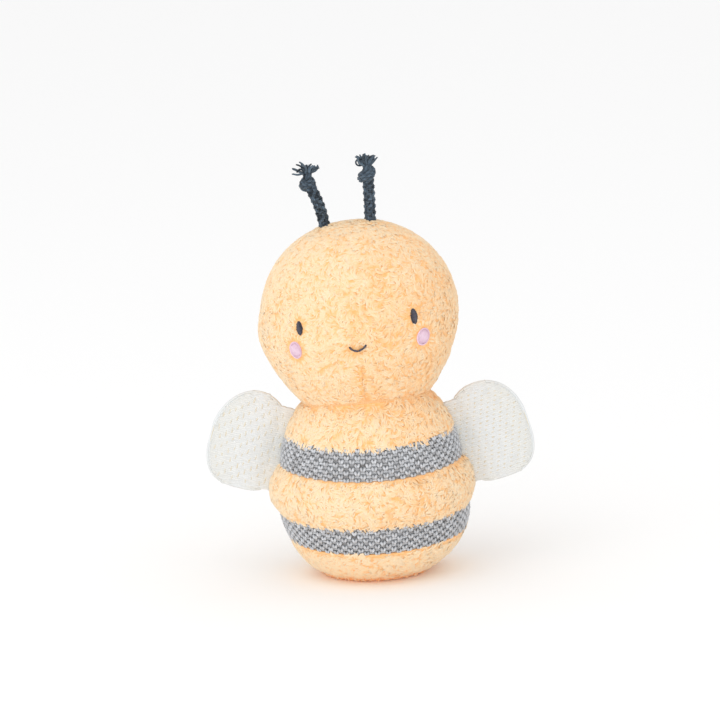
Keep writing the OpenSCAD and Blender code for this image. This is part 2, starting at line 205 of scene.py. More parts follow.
def on_head(p):
    """Head points, about its widest level, in the frame: the head leans about the crease."""
    x, y, z = np.moveaxis(p, -1, 0)
    x, z = turned(x + sway(x, z), z + HEAD_UP, math.radians(HEAD_LEAN))
    return np.stack([x, y, CREASE_Z + z], -1)


def off_head(p):
    """A point of the frame in the head's own frame."""
    x, z = turned(p[0], p[2] - CREASE_Z, -math.radians(HEAD_LEAN))
    return np.array([x, p[1], z - HEAD_UP])


def drape(p):
    """Body points: the cloth is drawn up toward the side seams and hangs a little lower in front."""
    x, y, z = np.moveaxis(p, -1, 0)
    side = (x / (np.hypot(x, y) + 1e-9)) ** 2
    hold = np.interp(z, (0, SEAM_Z[0], SEAM_Z[3], CREASE_Z), (0, 1, 1, 0))
    low = fade(z, SEAM_Z[1] + LOW_SHIFT_OVER)
    return np.stack([x + LOW_SHIFT * np.sin(math.pi * low) * side, y,
                     z + hold * (DRAPE * side + DRAPE_TILT * x)], -1)


def lean_shoulder(p):
    """Shoulder points: its upper edge leans with the head and is drawn up under the chin."""
    x, y, z = np.moveaxis(p, -1, 0)
    rise = fade(z - SEAM_Z[3], SHOULDER_H) ** 2
    radius = np.hypot(x, y) + 1e-9
    chin = rise * np.clip(-y / radius, 0, 1) ** 2
    grow = 1 + CHIN_OUT * chin / radius
    lean = x * math.tan(math.radians(HEAD_LEAN))
    return drape(np.stack([x * grow - SWAY * rise, y * grow, z + rise * lean + CHIN_RISE * chin], -1))


# Smooth noise for the lie of the pile

WAVES = rng.normal(size=(3, 8, 3)) / 5.0
WAVE_PHASE = rng.uniform(0, 2 * math.pi, size=(3, 8))


def drift(p, field):
    """A smooth number about -1 to 1 that wanders over a few millimetres."""
    return np.sin(p @ WAVES[field].T + WAVE_PHASE[field]).sum(-1) / 4


# Meshes with one map: U is the tint column, V runs along the strand

COLUMNS = 24
MAP_W = COLUMNS + 2


def halves(quads):
    """Each face of four corners as two triangles."""
    return np.stack([quads[..., [0, 1, 2]], quads[..., [0, 2, 3]]], -2)


def columns_of(tint):
    """Whole tint columns within the map."""
    return np.clip(np.rint(tint), 0, COLUMNS - 1)


def put(name, data):
    """An object in the scene."""
    obj = bpy.data.objects.new(name, data)
    bpy.context.collection.objects.link(obj)
    return obj


def dressed(mesh, material, slot, *nodes):
    """A smooth mesh as a piece that stands for these nodes."""
    mesh.polygons.foreach_set("use_smooth", np.ones(len(mesh.polygons), bool))
    mesh.materials.append(material)
    mesh.update()
    obj = put(mesh.name, mesh)
    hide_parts(*nodes)
    return obj


class Cloth:
    """Collects strands and sheets, then makes one piece of them."""

    def __init__(self):
        self.verts = []
        self.faces = []
        self.maps = []
        self.normals = []
        self.count = 0

    def add(self, verts, faces, maps, normals=None):
        """Points (n, 3), triangles (m, 3) and their corners on the map (m, 3, 2)."""
        self.verts.append(verts.reshape(-1, 3))
        self.faces.append(faces.reshape(-1, 3) + self.count)
        self.maps.append(maps.reshape(-1, 3, 2))
        self.normals.append(np.zeros_like(self.verts[-1]) if normals is None else normals.reshape(-1, 3))
        self.count += len(self.verts[-1])

    def strands(self, paths, radii, up, sides, tint, soft=0.0, flat=1.0):
        """Closed tubes along paths (n, k, 3), with radii (n, k), a side direction and a tint column each.

        A soft strand takes a share of its shading from the cloth that it stands on, and a flat one is
        less high than wide, with a ridge along its top.
        """
        n, k, _ = paths.shape
        run = unit(np.gradient(paths, axis=1))
        if up.ndim == 2:
            up = np.repeat(up[:, None], k, 1)
        across = unit(np.cross(run, up))
        out = np.cross(across, run)
        first = 0.5 if flat == 1.0 else sides / 4
        turn = 2 * math.pi * (np.arange(sides) + first) / sides
        ring = across[:, :, None] * np.cos(turn)[:, None] + flat * out[:, :, None] * np.sin(turn)[:, None]
        verts = paths[:, :, None] + radii[:, :, None, None] * ring
        at = np.arange(n * k * sides).reshape(n, k, sides)
        next_at = np.roll(at, -1, axis=2)
        wall = np.stack([at[:, :-1], at[:, 1:], next_at[:, 1:], next_at[:, :-1]], -1)
        s = np.arange(sides)
        column = tint[:, None, None, None]
        wall_u = column + 0.1 + 0.8 * np.stack([s, s, s + 1, s + 1], -1) / sides
        v = np.linspace(0.02, 0.98, k)
        wall_v = np.stack([v[:-1], v[1:], v[1:], v[:-1]], -1)[None, :, None]
        fan = np.array([(0, c + 1, c + 2) for c in range(sides - 2)])
        ends = np.stack([at[:, 0][:, fan], at[:, -1][:, fan[:, ::-1]]], 1)
        end_u = column + np.array([0.3, 0.6, 0.45])
        end_v = np.array([0.02, 0.97])[None, :, None, None] + np.array([0.0, 0.0, 0.01])

        def both(on_wall, on_ends):
            on_wall = halves(np.broadcast_to(on_wall, wall.shape)).reshape(-1, 3)
            return np.concatenate([on_wall, np.broadcast_to(on_ends, ends.shape).reshape(-1, 3)])

        maps = np.stack([both(wall_u, end_u) / MAP_W, both(wall_v, end_v)], -1)
        lit = unit((1 - soft) * ring + soft * up[:, :, None]) if soft else None
        self.add(verts, both(wall, ends), maps, lit)

    def strand(self, path, radius, up, sides, tint):
        """One tube along points (k, 3), with one radius or one for each point."""
        radii = np.broadcast_to(radius, (1, len(path)))
        self.strands(path[None], radii, up[None], sides, np.array([float(tint)]))

    def shell(self, outer, inner):
        """A closed sheet between two grids (m, n, 3), on the backing's part of the map."""
        m, n, _ = outer.shape
        near = np.arange(m * n).reshape(m, n)
        far = near + m * n

        def grid(g):
            return np.stack([g[:-1, :-1], g[:-1, 1:], g[1:, 1:], g[1:, :-1]], -1).reshape(-1, 4)

        def rim(a, b):
            return np.stack([a[:-1], b[:-1], b[1:], a[1:]], -1)

        quads = np.concatenate([
            grid(near), grid(far)[:, ::-1],
            rim(near[0], far[0]), rim(near[:, -1], far[:, -1]),
            rim(near[-1][::-1], far[-1][::-1]), rim(near[::-1, 0], far[::-1, 0])])
        spread = np.array([(0.2, 0.0), (0.8, 0.0), (0.8, 0.16), (0.2, 0.16)])
        u = np.broadcast_to((COLUMNS + 2 * spread[:, 0]) / MAP_W, (len(quads), 4))
        v = 0.1 + 0.2 * (np.arange(len(quads)) % 4)[:, None] + spread[:, 1]
        self.add(np.concatenate([outer.reshape(-1, 3), inner.reshape(-1, 3)]), halves(quads),
                 np.stack([halves(u), halves(v)], -1))

    def piece(self, name, material, slot, *nodes):
        """Makes the mesh object, which stands for these nodes."""
        mesh = bpy.data.meshes.new(name)
        mesh.from_pydata(np.concatenate(self.verts) * MM, [], np.concatenate(self.faces).astype(np.int32))
        layer = mesh.uv_layers.new(name="OFBake")
        layer.data.foreach_set("uv", np.concatenate(self.maps).astype(np.float32).ravel())
        obj = dressed(mesh, material, slot, *nodes)
        normals = np.concatenate(self.normals)
        if normals.any():
            mesh.normals_split_custom_set_from_vertices(normals)
        return obj


# Materials, with linear colours

SHEEN_TINT = (1.0, 0.95, 0.84, 1)
FIBRE_RELIEF, FILL_RELIEF = 0.0002, 0.0006


def settle(node, inputs):
    """Sets inputs of a node by name: each to a value, or linked to another node's output."""
    for key, value in inputs.items():
        if isinstance(value, bpy.types.NodeSocket):
            node.id_data.links.new(value, node.inputs[key])
        else:
            node.inputs[key].default_value = value


def new_material(name):
    """A material with its shader and a helper that adds nodes."""
    mat = bpy.data.materials.new(name)
    mat.use_nodes = True
    nodes = mat.node_tree.nodes

    def add(kind, inputs, **values):
        node = nodes.new("ShaderNode" + kind)
        for key, value in values.items():
            setattr(node, key, value)
        settle(node, inputs)
        return node.outputs

    return mat, nodes["Principled BSDF"], add


def ramp(add, source, stops):
    """A colour ramp over an output, with stops of (place, colour)."""
    colour_out = add("ValToRGB", {"Fac": source})["Color"]
    marks = colour_out.node.color_ramp.elements
    while len(marks) < len(stops):
        marks.new(0.5)
    for mark, (place, colour) in zip(marks, stops):
        mark.position = place
        mark.color = (*colour, 1)
    return colour_out


def strand_material(name, pale, deep, fibre=(260.0, 5.0), groove_shade=0.18, bump=0.25, sheen=0.2):
    """Cloth of strands: pale and deep are ramps along a strand, and U picks between them."""
    mat, shader, add = new_material(name)
    uv = add("UVMap", {}, uv_map="OFBake")["UV"]
    part = add("SeparateXYZ", {"Vector": uv})
    ramps = {"A": ramp(add, part["Y"], pale), "B": ramp(add, part["Y"], deep)}
    blend = add("Mix", {"Factor": part["X"], **ramps}, data_type="RGBA")["Result"]
    stretch = add("Mapping", {"Vector": uv, "Scale": (*fibre, 1.0)})["Vector"]
    noise = add("TexNoise", {"Vector": stretch, "Scale": 1.0, "Detail": 3.0}, noise_dimensions="2D")["Fac"]
    # Painted shade: the colour is darker where the fibre relief is low, in the grooves between fibres.
    shade = ramp(add, noise, [(0.3, (1 - groove_shade,) * 3), (0.7, (1.0, 1.0, 1.0))])
    tone = add("Mix", {"Factor": 1.0, "A": blend, "B": shade}, data_type="RGBA", blend_type="MULTIPLY")
    relief = add("Bump", {"Strength": bump, "Distance": FIBRE_RELIEF, "Height": noise})
    settle(shader, {"Base Color": tone["Result"], "Normal": relief["Normal"], "Roughness": 0.9,
                    "Specular IOR Level": 0.2, "Sheen Weight": sheen, "Sheen Roughness": 0.5,
                    "Sheen Tint": SHEEN_TINT})
    return mat


def yarn_material(name, pale, deep, fibre, groove_shade, bump):
    """Yarn that is darker at both ends, painted shade where it dives under its neighbours or into the cloth:
    pale and deep are each an end colour and a middle one.
    """
    stops = [[(0.0, end), (0.5, middle), (1.0, end)] for end, middle in (pale, deep)]
    return strand_material(name, *stops, fibre, groove_shade, bump)


def fill_material(name, pale, deep, grain, bump):
    """Loose filling: mottled and darker where its relief of tangled grain is low, painted shade in the
    hollows; the grain is of a size in millimetres.
    """
    mat, shader, add = new_material(name)
    grain_at = {"Vector": add("TexCoord", {})["Object"], "Scale": 1 / (grain * MM)}
    noise = add("TexNoise", {**grain_at, "Detail": 5.0, "Distortion": 1.5}, noise_dimensions="3D")["Fac"]
    # Painted shade: darker where the grain relief is low.
    tone = ramp(add, noise, [(0.3, deep), (0.7, pale)])
    relief = add("Bump", {"Strength": bump, "Distance": FILL_RELIEF, "Height": noise})
    settle(shader, {"Base Color": tone, "Normal": relief["Normal"], "Roughness": 0.95, "Sheen Weight": 0.15})
    return mat


# Fleece ramps run from root to tip: the deeper orange roots are painted shade low in the pile, and the deep
# ramp is painted shade wherever the grooming picks it for hidden wisps, creases, seams and the backing, and
# otherwise the fleece's own uneven tone
FLEECE = strand_material(
    "fleece_curl",
    pale=[(0.0, (0.985, 0.60, 0.285)), (0.4, (0.98, 0.745, 0.47)), (1.0, (0.965, 0.805, 0.60))],
    deep=[(0.0, (0.99, 0.45, 0.155)), (0.4, (0.99, 0.54, 0.21)), (1.0, (0.985, 0.65, 0.36))],
    groove_shade=0.06, sheen=0.45)
GREY_KNIT = yarn_material("grey_knit", ((0.145, 0.135, 0.135), (0.235, 0.225, 0.225)),
                          ((0.60, 0.62, 0.65), (0.83, 0.855, 0.90)), (180.0, 9.0), 0.3, 0.4)
IVORY_KNIT = yarn_material("ivory_knit", ((0.745, 0.752, 0.73), (0.775, 0.80, 0.815)),
                           ((0.73, 0.65, 0.50), (0.745, 0.67, 0.52)), (180.0, 9.0), 0.08, 0.25)
NAVY_CORD = yarn_material("navy_cord", ((0.012, 0.019, 0.030), (0.022, 0.034, 0.050)),
                          ((0.13, 0.185, 0.25), (0.18, 0.255, 0.335)), (200.0, 30.0), 0.55, 0.5)
SEAM_THREAD = yarn_material("seam_thread", ((0.95, 0.56, 0.26), (0.96, 0.64, 0.34)),
                            ((0.95, 0.46, 0.18), (0.96, 0.56, 0.27)), (220.0, 20.0), 0.2, 0.3)
EYE_THREAD = yarn_material("eye_thread", ((0.034, 0.032, 0.041), (0.088, 0.083, 0.108)),
                           ((0.052, 0.049, 0.063), (0.15, 0.142, 0.18)), (300.0, 4.0), 0.3, 0.3)
CHEEK_THREAD = yarn_material("cheek_thread", ((0.72, 0.48, 0.60), (0.86, 0.64, 0.76)),
                             ((0.78, 0.55, 0.67), (0.90, 0.72, 0.83)), (300.0, 4.0), 0.12, 0.3)
STUFFING = fill_material("polyester_fibre", (0.90, 0.90, 0.88), (0.74, 0.74, 0.72), 2.2, 0.8)
BAG_CLOTH = fill_material("bag_cotton", (0.80, 0.76, 0.68), (0.62, 0.58, 0.50), 1.6, 0.6)


# Fleece: wisps lie on a backing cloth, a few to a curl, and lie wilder toward the bee's left, where their
# tint is deeper as painted shade on the side away from the light

CLOTH_T = 1.4
PILE_SINK, PILE_DENSITY, PILE_SOFT, PILE_FLAT = 0.55, 1.35, 0.45, 0.45
PLASTIC_RATIO = 0.7548776662466927  # steps of this share and of its square spread points evenly
EVEN_STEPS = (PLASTIC_RATIO, PLASTIC_RATIO ** 2)
CURL_SIZE, CURL_PULL = 4, 0.4
WISP_LENGTH, WISP_R, WISP_BEND, WISP_LIFT_DEG = (3.2, 4.8), (0.44, 0.66), (1.2, 2.8), (5.5, 15)
WISP_TAPER = np.array([0.75, 1.0, 1.0, 0.8, 0.2])
# The middle tint column, and how much finer the drift is for patches of tint and for pits in the pile
TINT, PATCH, PIT = 4.5, 3.0, 7.0
# Wisps under the others: their share, how deep they sink, and the deeper tint that paints their shade
UNDER_SHARE, UNDER_SINK, UNDER_SHADE = 0.22, 0.25, 14
# How far the wild side reaches, and where the painted shade toward the bee's left is centred
WILD_REACH, SHADE_SIDE_FROM = 15.0, -12.0


def scatter(line, start, sweep, density):
    """Even places over a surface of revolution: points, normals, down and round ways, share of the area."""
    radius = (line[1:, 0] + line[:-1, 0]) / 2
    area = np.concatenate([[0], np.cumsum(np.linalg.norm(np.diff(line, axis=0), axis=1) * radius)])
    count = int(area[-1] * math.radians(sweep) * density)
    share, round_share = [((np.arange(count) + 0.5) * step + rng.normal(0, 0.002, count)) % 1
                          for step in EVEN_STEPS]
    k = np.arange(len(line))
    place = np.interp(share * area[-1], area, k)
    r, z, out_r, out_z = [np.interp(place, k, row) for row in (*line.T, *outward(line).T)]
    turn = np.radians(start + sweep * round_share)
    normal = unit(polar(out_r, turn, out_z))
    round_way = polar(1.0, turn + math.pi / 2, 0.0)
    down = np.cross(normal, round_way)
    down *= np.where(down[:, 2:3] > 0, -1, 1)
    return polar(r, turn, z), normal, down, round_way, share


def curl_paths(points, normal, lay, length, lift, bend):
    """Paths of curling wisps: they rise, lie over along their lay and turn sideways."""
    steps = len(WISP_TAPER) - 1
    side = np.cross(normal, lay)
    t = (np.arange(steps) + 0.5) / steps
    pitch = (lift[:, None] * (1 - 1.6 * t))[..., None]
    turn = (bend[:, None] * (t - 0.3))[..., None]
    along = np.cos(turn) * lay[:, None] + np.sin(turn) * side[:, None]
    way = np.cos(pitch) * along + np.sin(pitch) * normal[:, None]
    moves = way * (length / steps)[:, None, None]
    return np.concatenate([points[:, None], points[:, None] + np.cumsum(moves, 1)], 1)


def curl_leads(points):
    """For each root, the root that leads its curl: the nearest of a random few."""
    leads = rng.permutation(len(points))[:max(1, len(points) // CURL_SIZE)]
    tree = KDTree(len(leads))
    for at, lead in enumerate(leads):
        tree.insert(points[lead], at)
    tree.balance()
    return leads[[tree.find(p)[1] for p in points]]


def wisps_on(back, start, sweep):
    """The roots, lie, size and tint of a panel's wisps before grooming; those under the others are tinted
    deeper, as painted shade.
    """
    points, normal, down, round_way, up = scatter(back, start, sweep, PILE_DENSITY)
    n = len(points)
    lead = curl_leads(points)
    lie = ((3.0 * drift(points, 0) + rng.normal(0, 0.6, n))[lead] + rng.normal(0, 0.2, n))[:, None]
    way = np.sign(2 * drift(points, 2) + rng.normal(0, 1, n))
    wild = np.tanh(points[:, 0] / WILD_REACH)
    wisps = SimpleNamespace(
        normal=normal, up=up, keep=np.ones(n, bool),
        lay=np.cos(lie) * down + np.sin(lie) * round_way,
        length=rng.uniform(*WISP_LENGTH, n)[lead] * rng.uniform(0.85, 1.1, n) * (1 + 0.08 * wild),
        thick=rng.uniform(*WISP_R, n),
        bend=(way * rng.uniform(*WISP_BEND, n))[lead] * rng.uniform(0.85, 1.15, n) * (1 + 0.25 * wild),
        lift=np.radians(rng.uniform(*WISP_LIFT_DEG, n)[lead] + rng.uniform(0, 3.5, n)),
        tint=TINT + 3 * drift(points, 1) + 4 * drift(PATCH * points, 1)
        + rng.normal(0, 3.0, n)[lead] + rng.normal(0, 1.5, n))
    wisps.lift *= 1 + 0.3 * np.minimum(wild, 0.3)
    # Painted shade: the tint deepens toward the bee's left, the side away from the light.
    wisps.tint += 4 * np.tanh((points[:, 0] - SHADE_SIDE_FROM) / WILD_REACH)
    # Painted shade: wisps under the others take a deeper tint, and more of them lie toward the bee's left,
    # the side away from the light.
    under = rng.random(n) < UNDER_SHARE + 0.14 * wild + (0.13 + 0.05 * wild) * drift(PIT * points, 2)
    wisps.tint[under] += UNDER_SHADE
    pull = np.where(under, 0.0, CURL_PULL * (0.75 + 0.25 * wild))[:, None]
    depth = np.where(under, UNDER_SINK, rng.uniform(-0.15, 0.25, n))[:, None]
    wisps.points = points + pull * (points[lead] - points) - depth * normal
    return wisps


def fleece(name, line, start, sweep, place, groom, *nodes):
    """A panel of curly fleece: backing cloth and a groomed pile."""
    cloth = Cloth()
    back = sink(line, PILE_SINK)
    count = max(12, int(math.radians(sweep) * line[:, 0].max() / 1.6))
    # The backing cloth takes the deep end of the fleece ramps: painted shade in the gaps between the wisps.
    cloth.shell(place(revolve(back, start, sweep, count)),
                place(revolve(sink(back, CLOTH_T), start, sweep, count)))
    wisps = wisps_on(back, start, sweep)
    groom(wisps)
    points, normal, lay, length, lift, bend, thick, tint = [
        value[wisps.keep] for value in (wisps.points, wisps.normal, wisps.lay, wisps.length, wisps.lift,
                                        wisps.bend, wisps.thick, wisps.tint)]
    lay = unit(lay - (lay * normal).sum(1, keepdims=True) * normal)
    placed = place(curl_paths(points, normal, lay, length, lift, bend))
    placed[..., 2] = np.maximum(placed[..., 2], thick[:, None])
    up = unit(place(points + normal) - place(points))
    cloth.strands(placed, thick[:, None] * WISP_TAPER, up, 3, columns_of(tint), PILE_SOFT, PILE_FLAT)
    return cloth.piece(name, FLEECE, "fleece", *nodes)


# Grooming, in millimetres over the backing; a tint is in columns of the map

PART_BARE, PART_REACH, PART_SHORT = 0.8, 5.0, 0.72
SMILE_BARE, SMILE_REACH, SMILE_SHORT = 1.2, 3.6, 0.7
CROWN_FROM, CROWN_FADE, CROWN_FLAT, CROWN_PLUMP = 14.0, 22.0, 0.45, 0.1
CROWN_PAINTED_LIGHT, CROWN_LIGHT_FROM, CROWN_LIGHT_RUN, HEAD_TINT = 5, 18.0, 18.0, 1.5
CHIN_SEAM_OFF, CHIN_SEAM_RUN, CHIN_SEAM_BELOW, CHIN_SEAM_SHORT = 1.4, 22.0, 8.0, 0.8
CHIN_SEAM_PUSH, CHIN_SEAM_DEEP, CHIN_SEAM_BARE, CHIN_SEAM_SHADE = 3.0, 1.3, 0.6, 14
CREASE_PILE, CREASE_SHADE, CREASE_LONG, CREASE_DOWN = 7.0, 9, 0.25, -1.2
FOOT_PILE, FOOT_BLEND, FOOT_LIFT, FOOT_STRAIGHT = 8.5, 4.0, 0.75, 0.7
BODY_DOWN, BODY_TINT, BODY_BARE, BODY_EDGE = -0.35, -3, 1.0, 0.92
LOWER_BARE, LOWER_FOOT, LOWER_PAINTED_LIGHT = 1.6, 4.0, -11
BASE_SEAM_SHADE, BASE_SEAM_TOP, BASE_SEAM_RUN = 5, 3.0, 2.0
HANG_EDGE, HANG_LIFT, HANG_LONG = 0.06, math.radians(11), 1.5
NECK_SHADE, NECK_SHADE_RUN, NECK_STAND, NECK_BARE, SHOULDER_TINT = 10, 6.0, 2.2, 0.8, -3


def comb(wisps, some, hold, way, length, bend=1.0):
    """Combs some wisps a way: they hold a share of their own lay, length and bend."""
    wisps.lay[some] = hold * wisps.lay[some] + way
    wisps.length[some] *= length
    wisps.bend[some] *= bend


def push_away(wisps, near, away, share):
    """Wisps near something lie away from it and are shorter."""
    comb(wisps, near, 0.25, away[near], share, 0.3)


def face_place(points, az):
    """Head points seen from straight out at a face angle: place sideways, whether in front, and the side."""
    turn = math.radians(az - FACE_YAW)
    x, y = turned(points[:, 0], points[:, 1], -turn)
    return x, y < 0, np.array([math.cos(turn), math.sin(turn), 0])


def groom_round(wisps, az, z, w, h, slant=0.0):
    """Parts the pile round a patch of embroidery."""
    x, front, side = face_place(wisps.points, az)
    y = wisps.points[:, 2] - z
    u, v = turned(x, y, -math.radians(slant))
    within = np.hypot(u / (w / 2 + PART_BARE), v / (h / 2 + PART_BARE))
    around = np.hypot(u / (w / 2 + PART_REACH), v / (h / 2 + PART_REACH))
    wisps.keep &= ~(front & (within < 1))
    away = unit(x[:, None] * side + y[:, None] * UP)
    push_away(wisps, front & (within >= 1) & (around < 1), away, PART_SHORT)


def groom_smile(wisps):
    """Parts the pile along the smile."""
    x, front, side = face_place(wisps.points, SMILE_AZ)
    y = wisps.points[:, 2]
    r = (SMILE_W ** 2 / 4 + SMILE_DROP ** 2) / (2 * SMILE_DROP)
    middle = SMILE_Z + r
    off = np.hypot(x, y - middle) - r
    reach = front & (np.abs(x) < SMILE_W / 2 + PART_BARE) & (y < SMILE_Z + SMILE_DROP + PART_BARE)
    wisps.keep &= ~(reach & (np.abs(off) < SMILE_BARE))
    away = np.sign(off)[:, None] * unit(x[:, None] * side + (y - middle)[:, None] * UP)
    push_away(wisps, reach & (np.abs(off) < SMILE_REACH), away, SMILE_SHORT)


def groom_head(wisps):
    """Grooms the head: flat crown, tinted paler as painted light from above, face, chin seam and neck crease,
    both tinted deeper as painted shade, and the feet of the antennae.
    """
    p = wisps.points
    z = p[:, 2]
    crown = fade(z - CROWN_FROM, CROWN_FADE)
    wisps.lift *= 1 - CROWN_FLAT * crown
    wisps.thick *= 1 + CROWN_PLUMP * crown
    for patch in (*EYES.values(), *CHEEKS.values()):
        groom_round(wisps, *patch)
    groom_smile(wisps)
    x, front, side = face_place(p, FACE_YAW)
    x = x + CHIN_SEAM_OFF * fade(z + HEAD_UP, CHIN_SEAM_RUN)
    seam = front & (z < SMILE_Z - CHIN_SEAM_BELOW)
    away = np.sign(x)[:, None] * side - 0.3 * UP
    push_away(wisps, seam & (np.abs(x) < CHIN_SEAM_PUSH), away, CHIN_SEAM_SHORT)
    # Painted shade: wisps along the chin seam, where the pile parts, are tinted deeper.
    wisps.tint[seam & (np.abs(x) < CHIN_SEAM_DEEP)] += CHIN_SEAM_SHADE
    wisps.keep &= ~(seam & (np.abs(x) < CHIN_SEAM_BARE))
    # Painted shade: the pile low on the head, toward the neck crease, is tinted deeper; it also hangs down
    # and grows longer there.
    over = fade(CREASE_PILE - HEAD_UP - z, CREASE_PILE)
    # Painted light: the crown is tinted paler, as lit from above; painted shade deepens the pile toward the
    # neck crease.
    wisps.tint += HEAD_TINT - CROWN_PAINTED_LIGHT * fade(z - CROWN_LIGHT_FROM, CROWN_LIGHT_RUN) + CREASE_SHADE * over
    wisps.lay += over[:, None] * CREASE_DOWN * UP
    wisps.length *= 1 + CREASE_LONG * over
    for label in ("left", "right"):
        away = p - off_head(middle_of(f"{label}_antenna_root"))
        near = fade(FOOT_PILE - np.linalg.norm(away, axis=1), FOOT_BLEND)
        wisps.lay = (1 - near)[:, None] * wisps.lay - near[:, None] * unit(away)
        wisps.lift += FOOT_LIFT * near
        wisps.bend *= 1 - FOOT_STRAIGHT * near


def hang_some(wisps):
    """A few wisps at a panel's lower seam hang over the stripe below it."""
    some = (wisps.up < HANG_EDGE) & (wisps.lift < HANG_LIFT)
    comb(wisps, some, 0.4, -1.2 * UP, HANG_LONG, 0.5)


def groom_body(wisps):
    """Grooms a body panel: the pile hangs a little and is thin at its upper seam, where it is tinted deeper
    as painted shade.
    """
    z = wisps.points[:, 2]
    wisps.lay += BODY_DOWN * UP
    wisps.tint += BODY_TINT
    wisps.keep &= z < z.max() - BODY_BARE
    edge = wisps.up > BODY_EDGE
    comb(wisps, edge, 0.35, -UP, 0.8, 0.4)
    wisps.length[wisps.up < 0.05] *= 0.8
    # Painted shade: the wisps at the upper seam, under the stripe, are tinted deeper.
    wisps.tint[edge] += 2
    hang_some(wisps)


def groom_lower(wisps):
    """Grooms the lower panel: flat on the table, tinted deeper toward the base seam as painted shade, and
    paler overall as painted light on a panel that faces down.
    """
    groom_body(wisps)
    z = wisps.points[:, 2]
    wisps.keep &= z < z.max() - LOWER_BARE
    low = z < LOWER_FOOT
    comb(wisps, low, 0.8, -0.2 * UP, 0.85)
    # Painted shade toward the base seam; the whole panel is paler, painted light where it faces down toward
    # the floor.
    wisps.tint += BASE_SEAM_SHADE * fade(BASE_SEAM_TOP - z, BASE_SEAM_RUN) + LOWER_PAINTED_LIGHT


def groom_shoulder(wisps):
    """Grooms the shoulder: crisp over the stripe, standing up in the neck crease and tinted deeper toward it
    as painted shade.
    """
    over = wisps.points[:, 2] - CREASE_Z
    # Painted shade: the tint deepens toward the neck crease.
    wisps.tint += NECK_SHADE * fade(over + NECK_SHADE_RUN, NECK_SHADE_RUN) + SHOULDER_TINT
    stand = fade(over + NECK_STAND, NECK_STAND)
    wisps.keep &= ~((over > -NECK_BARE) & (wisps.normal[:, 2] > 0.5))
    wisps.lay += (1.6 * stand + BODY_DOWN)[:, None] * UP
    wisps.lift *= 1 + 0.5 * stand
    wisps.bend *= 1 - 0.5 * stand
    wisps.length[wisps.up < HANG_EDGE] *= 0.65
    hang_some(wisps)


# Panels of fleece: each upper edge is turned in under the stripe or into the neck

TURN_IN, TURN_UP = 1.6, 0.9
NECK_EDGE = ((1.3, 0.5), (0.5, 0.8), (-0.5, 0.6), (-1.5, -0.2), (-4.0, -3.0))
LOWER_LINE = np.concatenate([
    swell((BASE_R - 0.6, LOWER_START), (SEAM_R[0] + FLEECE_STEP, SEAM_Z[0]), LOWER_BULGE),
    [(SEAM_R[0] - TURN_IN, SEAM_Z[0] + TURN_UP)]])
BELLY_LINE = np.concatenate([
    swell((SEAM_R[1] + FLEECE_STEP, SEAM_Z[1]), (SEAM_R[2] + FLEECE_STEP, SEAM_Z[2]), BELLY_BULGE),
    [(SEAM_R[2] - TURN_IN, SEAM_Z[2] + TURN_UP)]])
SHOULDER_LINE = np.concatenate([
    swell((SEAM_R[3] + FLEECE_STEP, SEAM_Z[3]), (NECK_R + CREASE_STEP, CREASE_Z), SHOULDER_BULGE)[:-1],
    np.array(NECK_EDGE) + (NECK_R, CREASE_Z)])
HEAD_LINE = head_line()
BASE_LINE = ((0.02, 0.5), (10.0, 0.45), (20.0, 0.45), (25.6, 0.5), (26.8, 1.0), (27.2, 1.8), (27.2, 3.0))
BASE_PILE_LENGTH, BASE_PILE_THICK, BASE_PILE_TINT = (2.0, 3.2), (0.3, 0.5), (10, 3)
BASE_DENSITY, BASE_PILE_R, BASE_PILE_LIFT, BASE_CLOTH_T = 0.35, 0.3, 0.3, 1.2


def base_fleece():
    """The base disc: short trodden pile over a flat cloth, and its rounded edge."""
    cloth = Cloth()
    line = resample(np.array(BASE_LINE))
    cloth.shell(revolve(line, 0, 360, 80), revolve(line * (0.96, 1) + (0, BASE_CLOTH_T), 0, 360, 80))
    points, normal, *_ = scatter(line, 0, 360, BASE_DENSITY)
    n = len(points)
    normal = -normal * np.sign(normal[:, 2:3] + 1e-6)
    lie = rng.uniform(0, 2 * math.pi, n)[:, None]
    across = unit(np.cross(normal, np.array([0.3, 0.2, 0.9])))
    lay = np.cos(lie) * across + np.sin(lie) * np.cross(normal, across)
    paths = curl_paths(points, normal, lay, rng.uniform(*BASE_PILE_LENGTH, n), np.full(n, BASE_PILE_LIFT),
                       rng.normal(0, 0.8, n))
    paths[..., 2] = np.maximum(paths[..., 2], BASE_PILE_R + 0.02)
    radii = np.minimum(rng.uniform(*BASE_PILE_THICK, n)[:, None] * WISP_TAPER, BASE_PILE_R)
    cloth.strands(paths, radii, normal, 4, columns_of(rng.normal(*BASE_PILE_TINT, n)))
    return cloth.piece("base_disc_fleece", FLEECE, "fleece", "base_disc")


body_pieces = []
for half, start in (("front", FRONT), ("back", BACK)):
    for panel, line, groom, place in (("lower", LOWER_LINE, groom_lower, drape),
                                      ("belly", BELLY_LINE, groom_body, drape),
                                      ("shoulder", SHOULDER_LINE, groom_shoulder, lean_shoulder)):
        node = f"{panel}_{half}"
        body_pieces.append(fleece(f"{node}_fleece", resample(line), start, 180.0, place, groom, node))
head_pieces = []
QUARTERS = {"front_left": 270.0, "front_right": 180.0, "back_left": 0.0, "back_right": 90.0}
for quarter, start in QUARTERS.items():
    node = f"head_{quarter}"
    head_pieces.append(fleece(f"{node}_fleece", HEAD_LINE, start, 90.0, on_head, groom_head, node))
body_pieces.append(base_fleece())


# Raised knit: staggered Vs of two yarns, with sunken bars between them

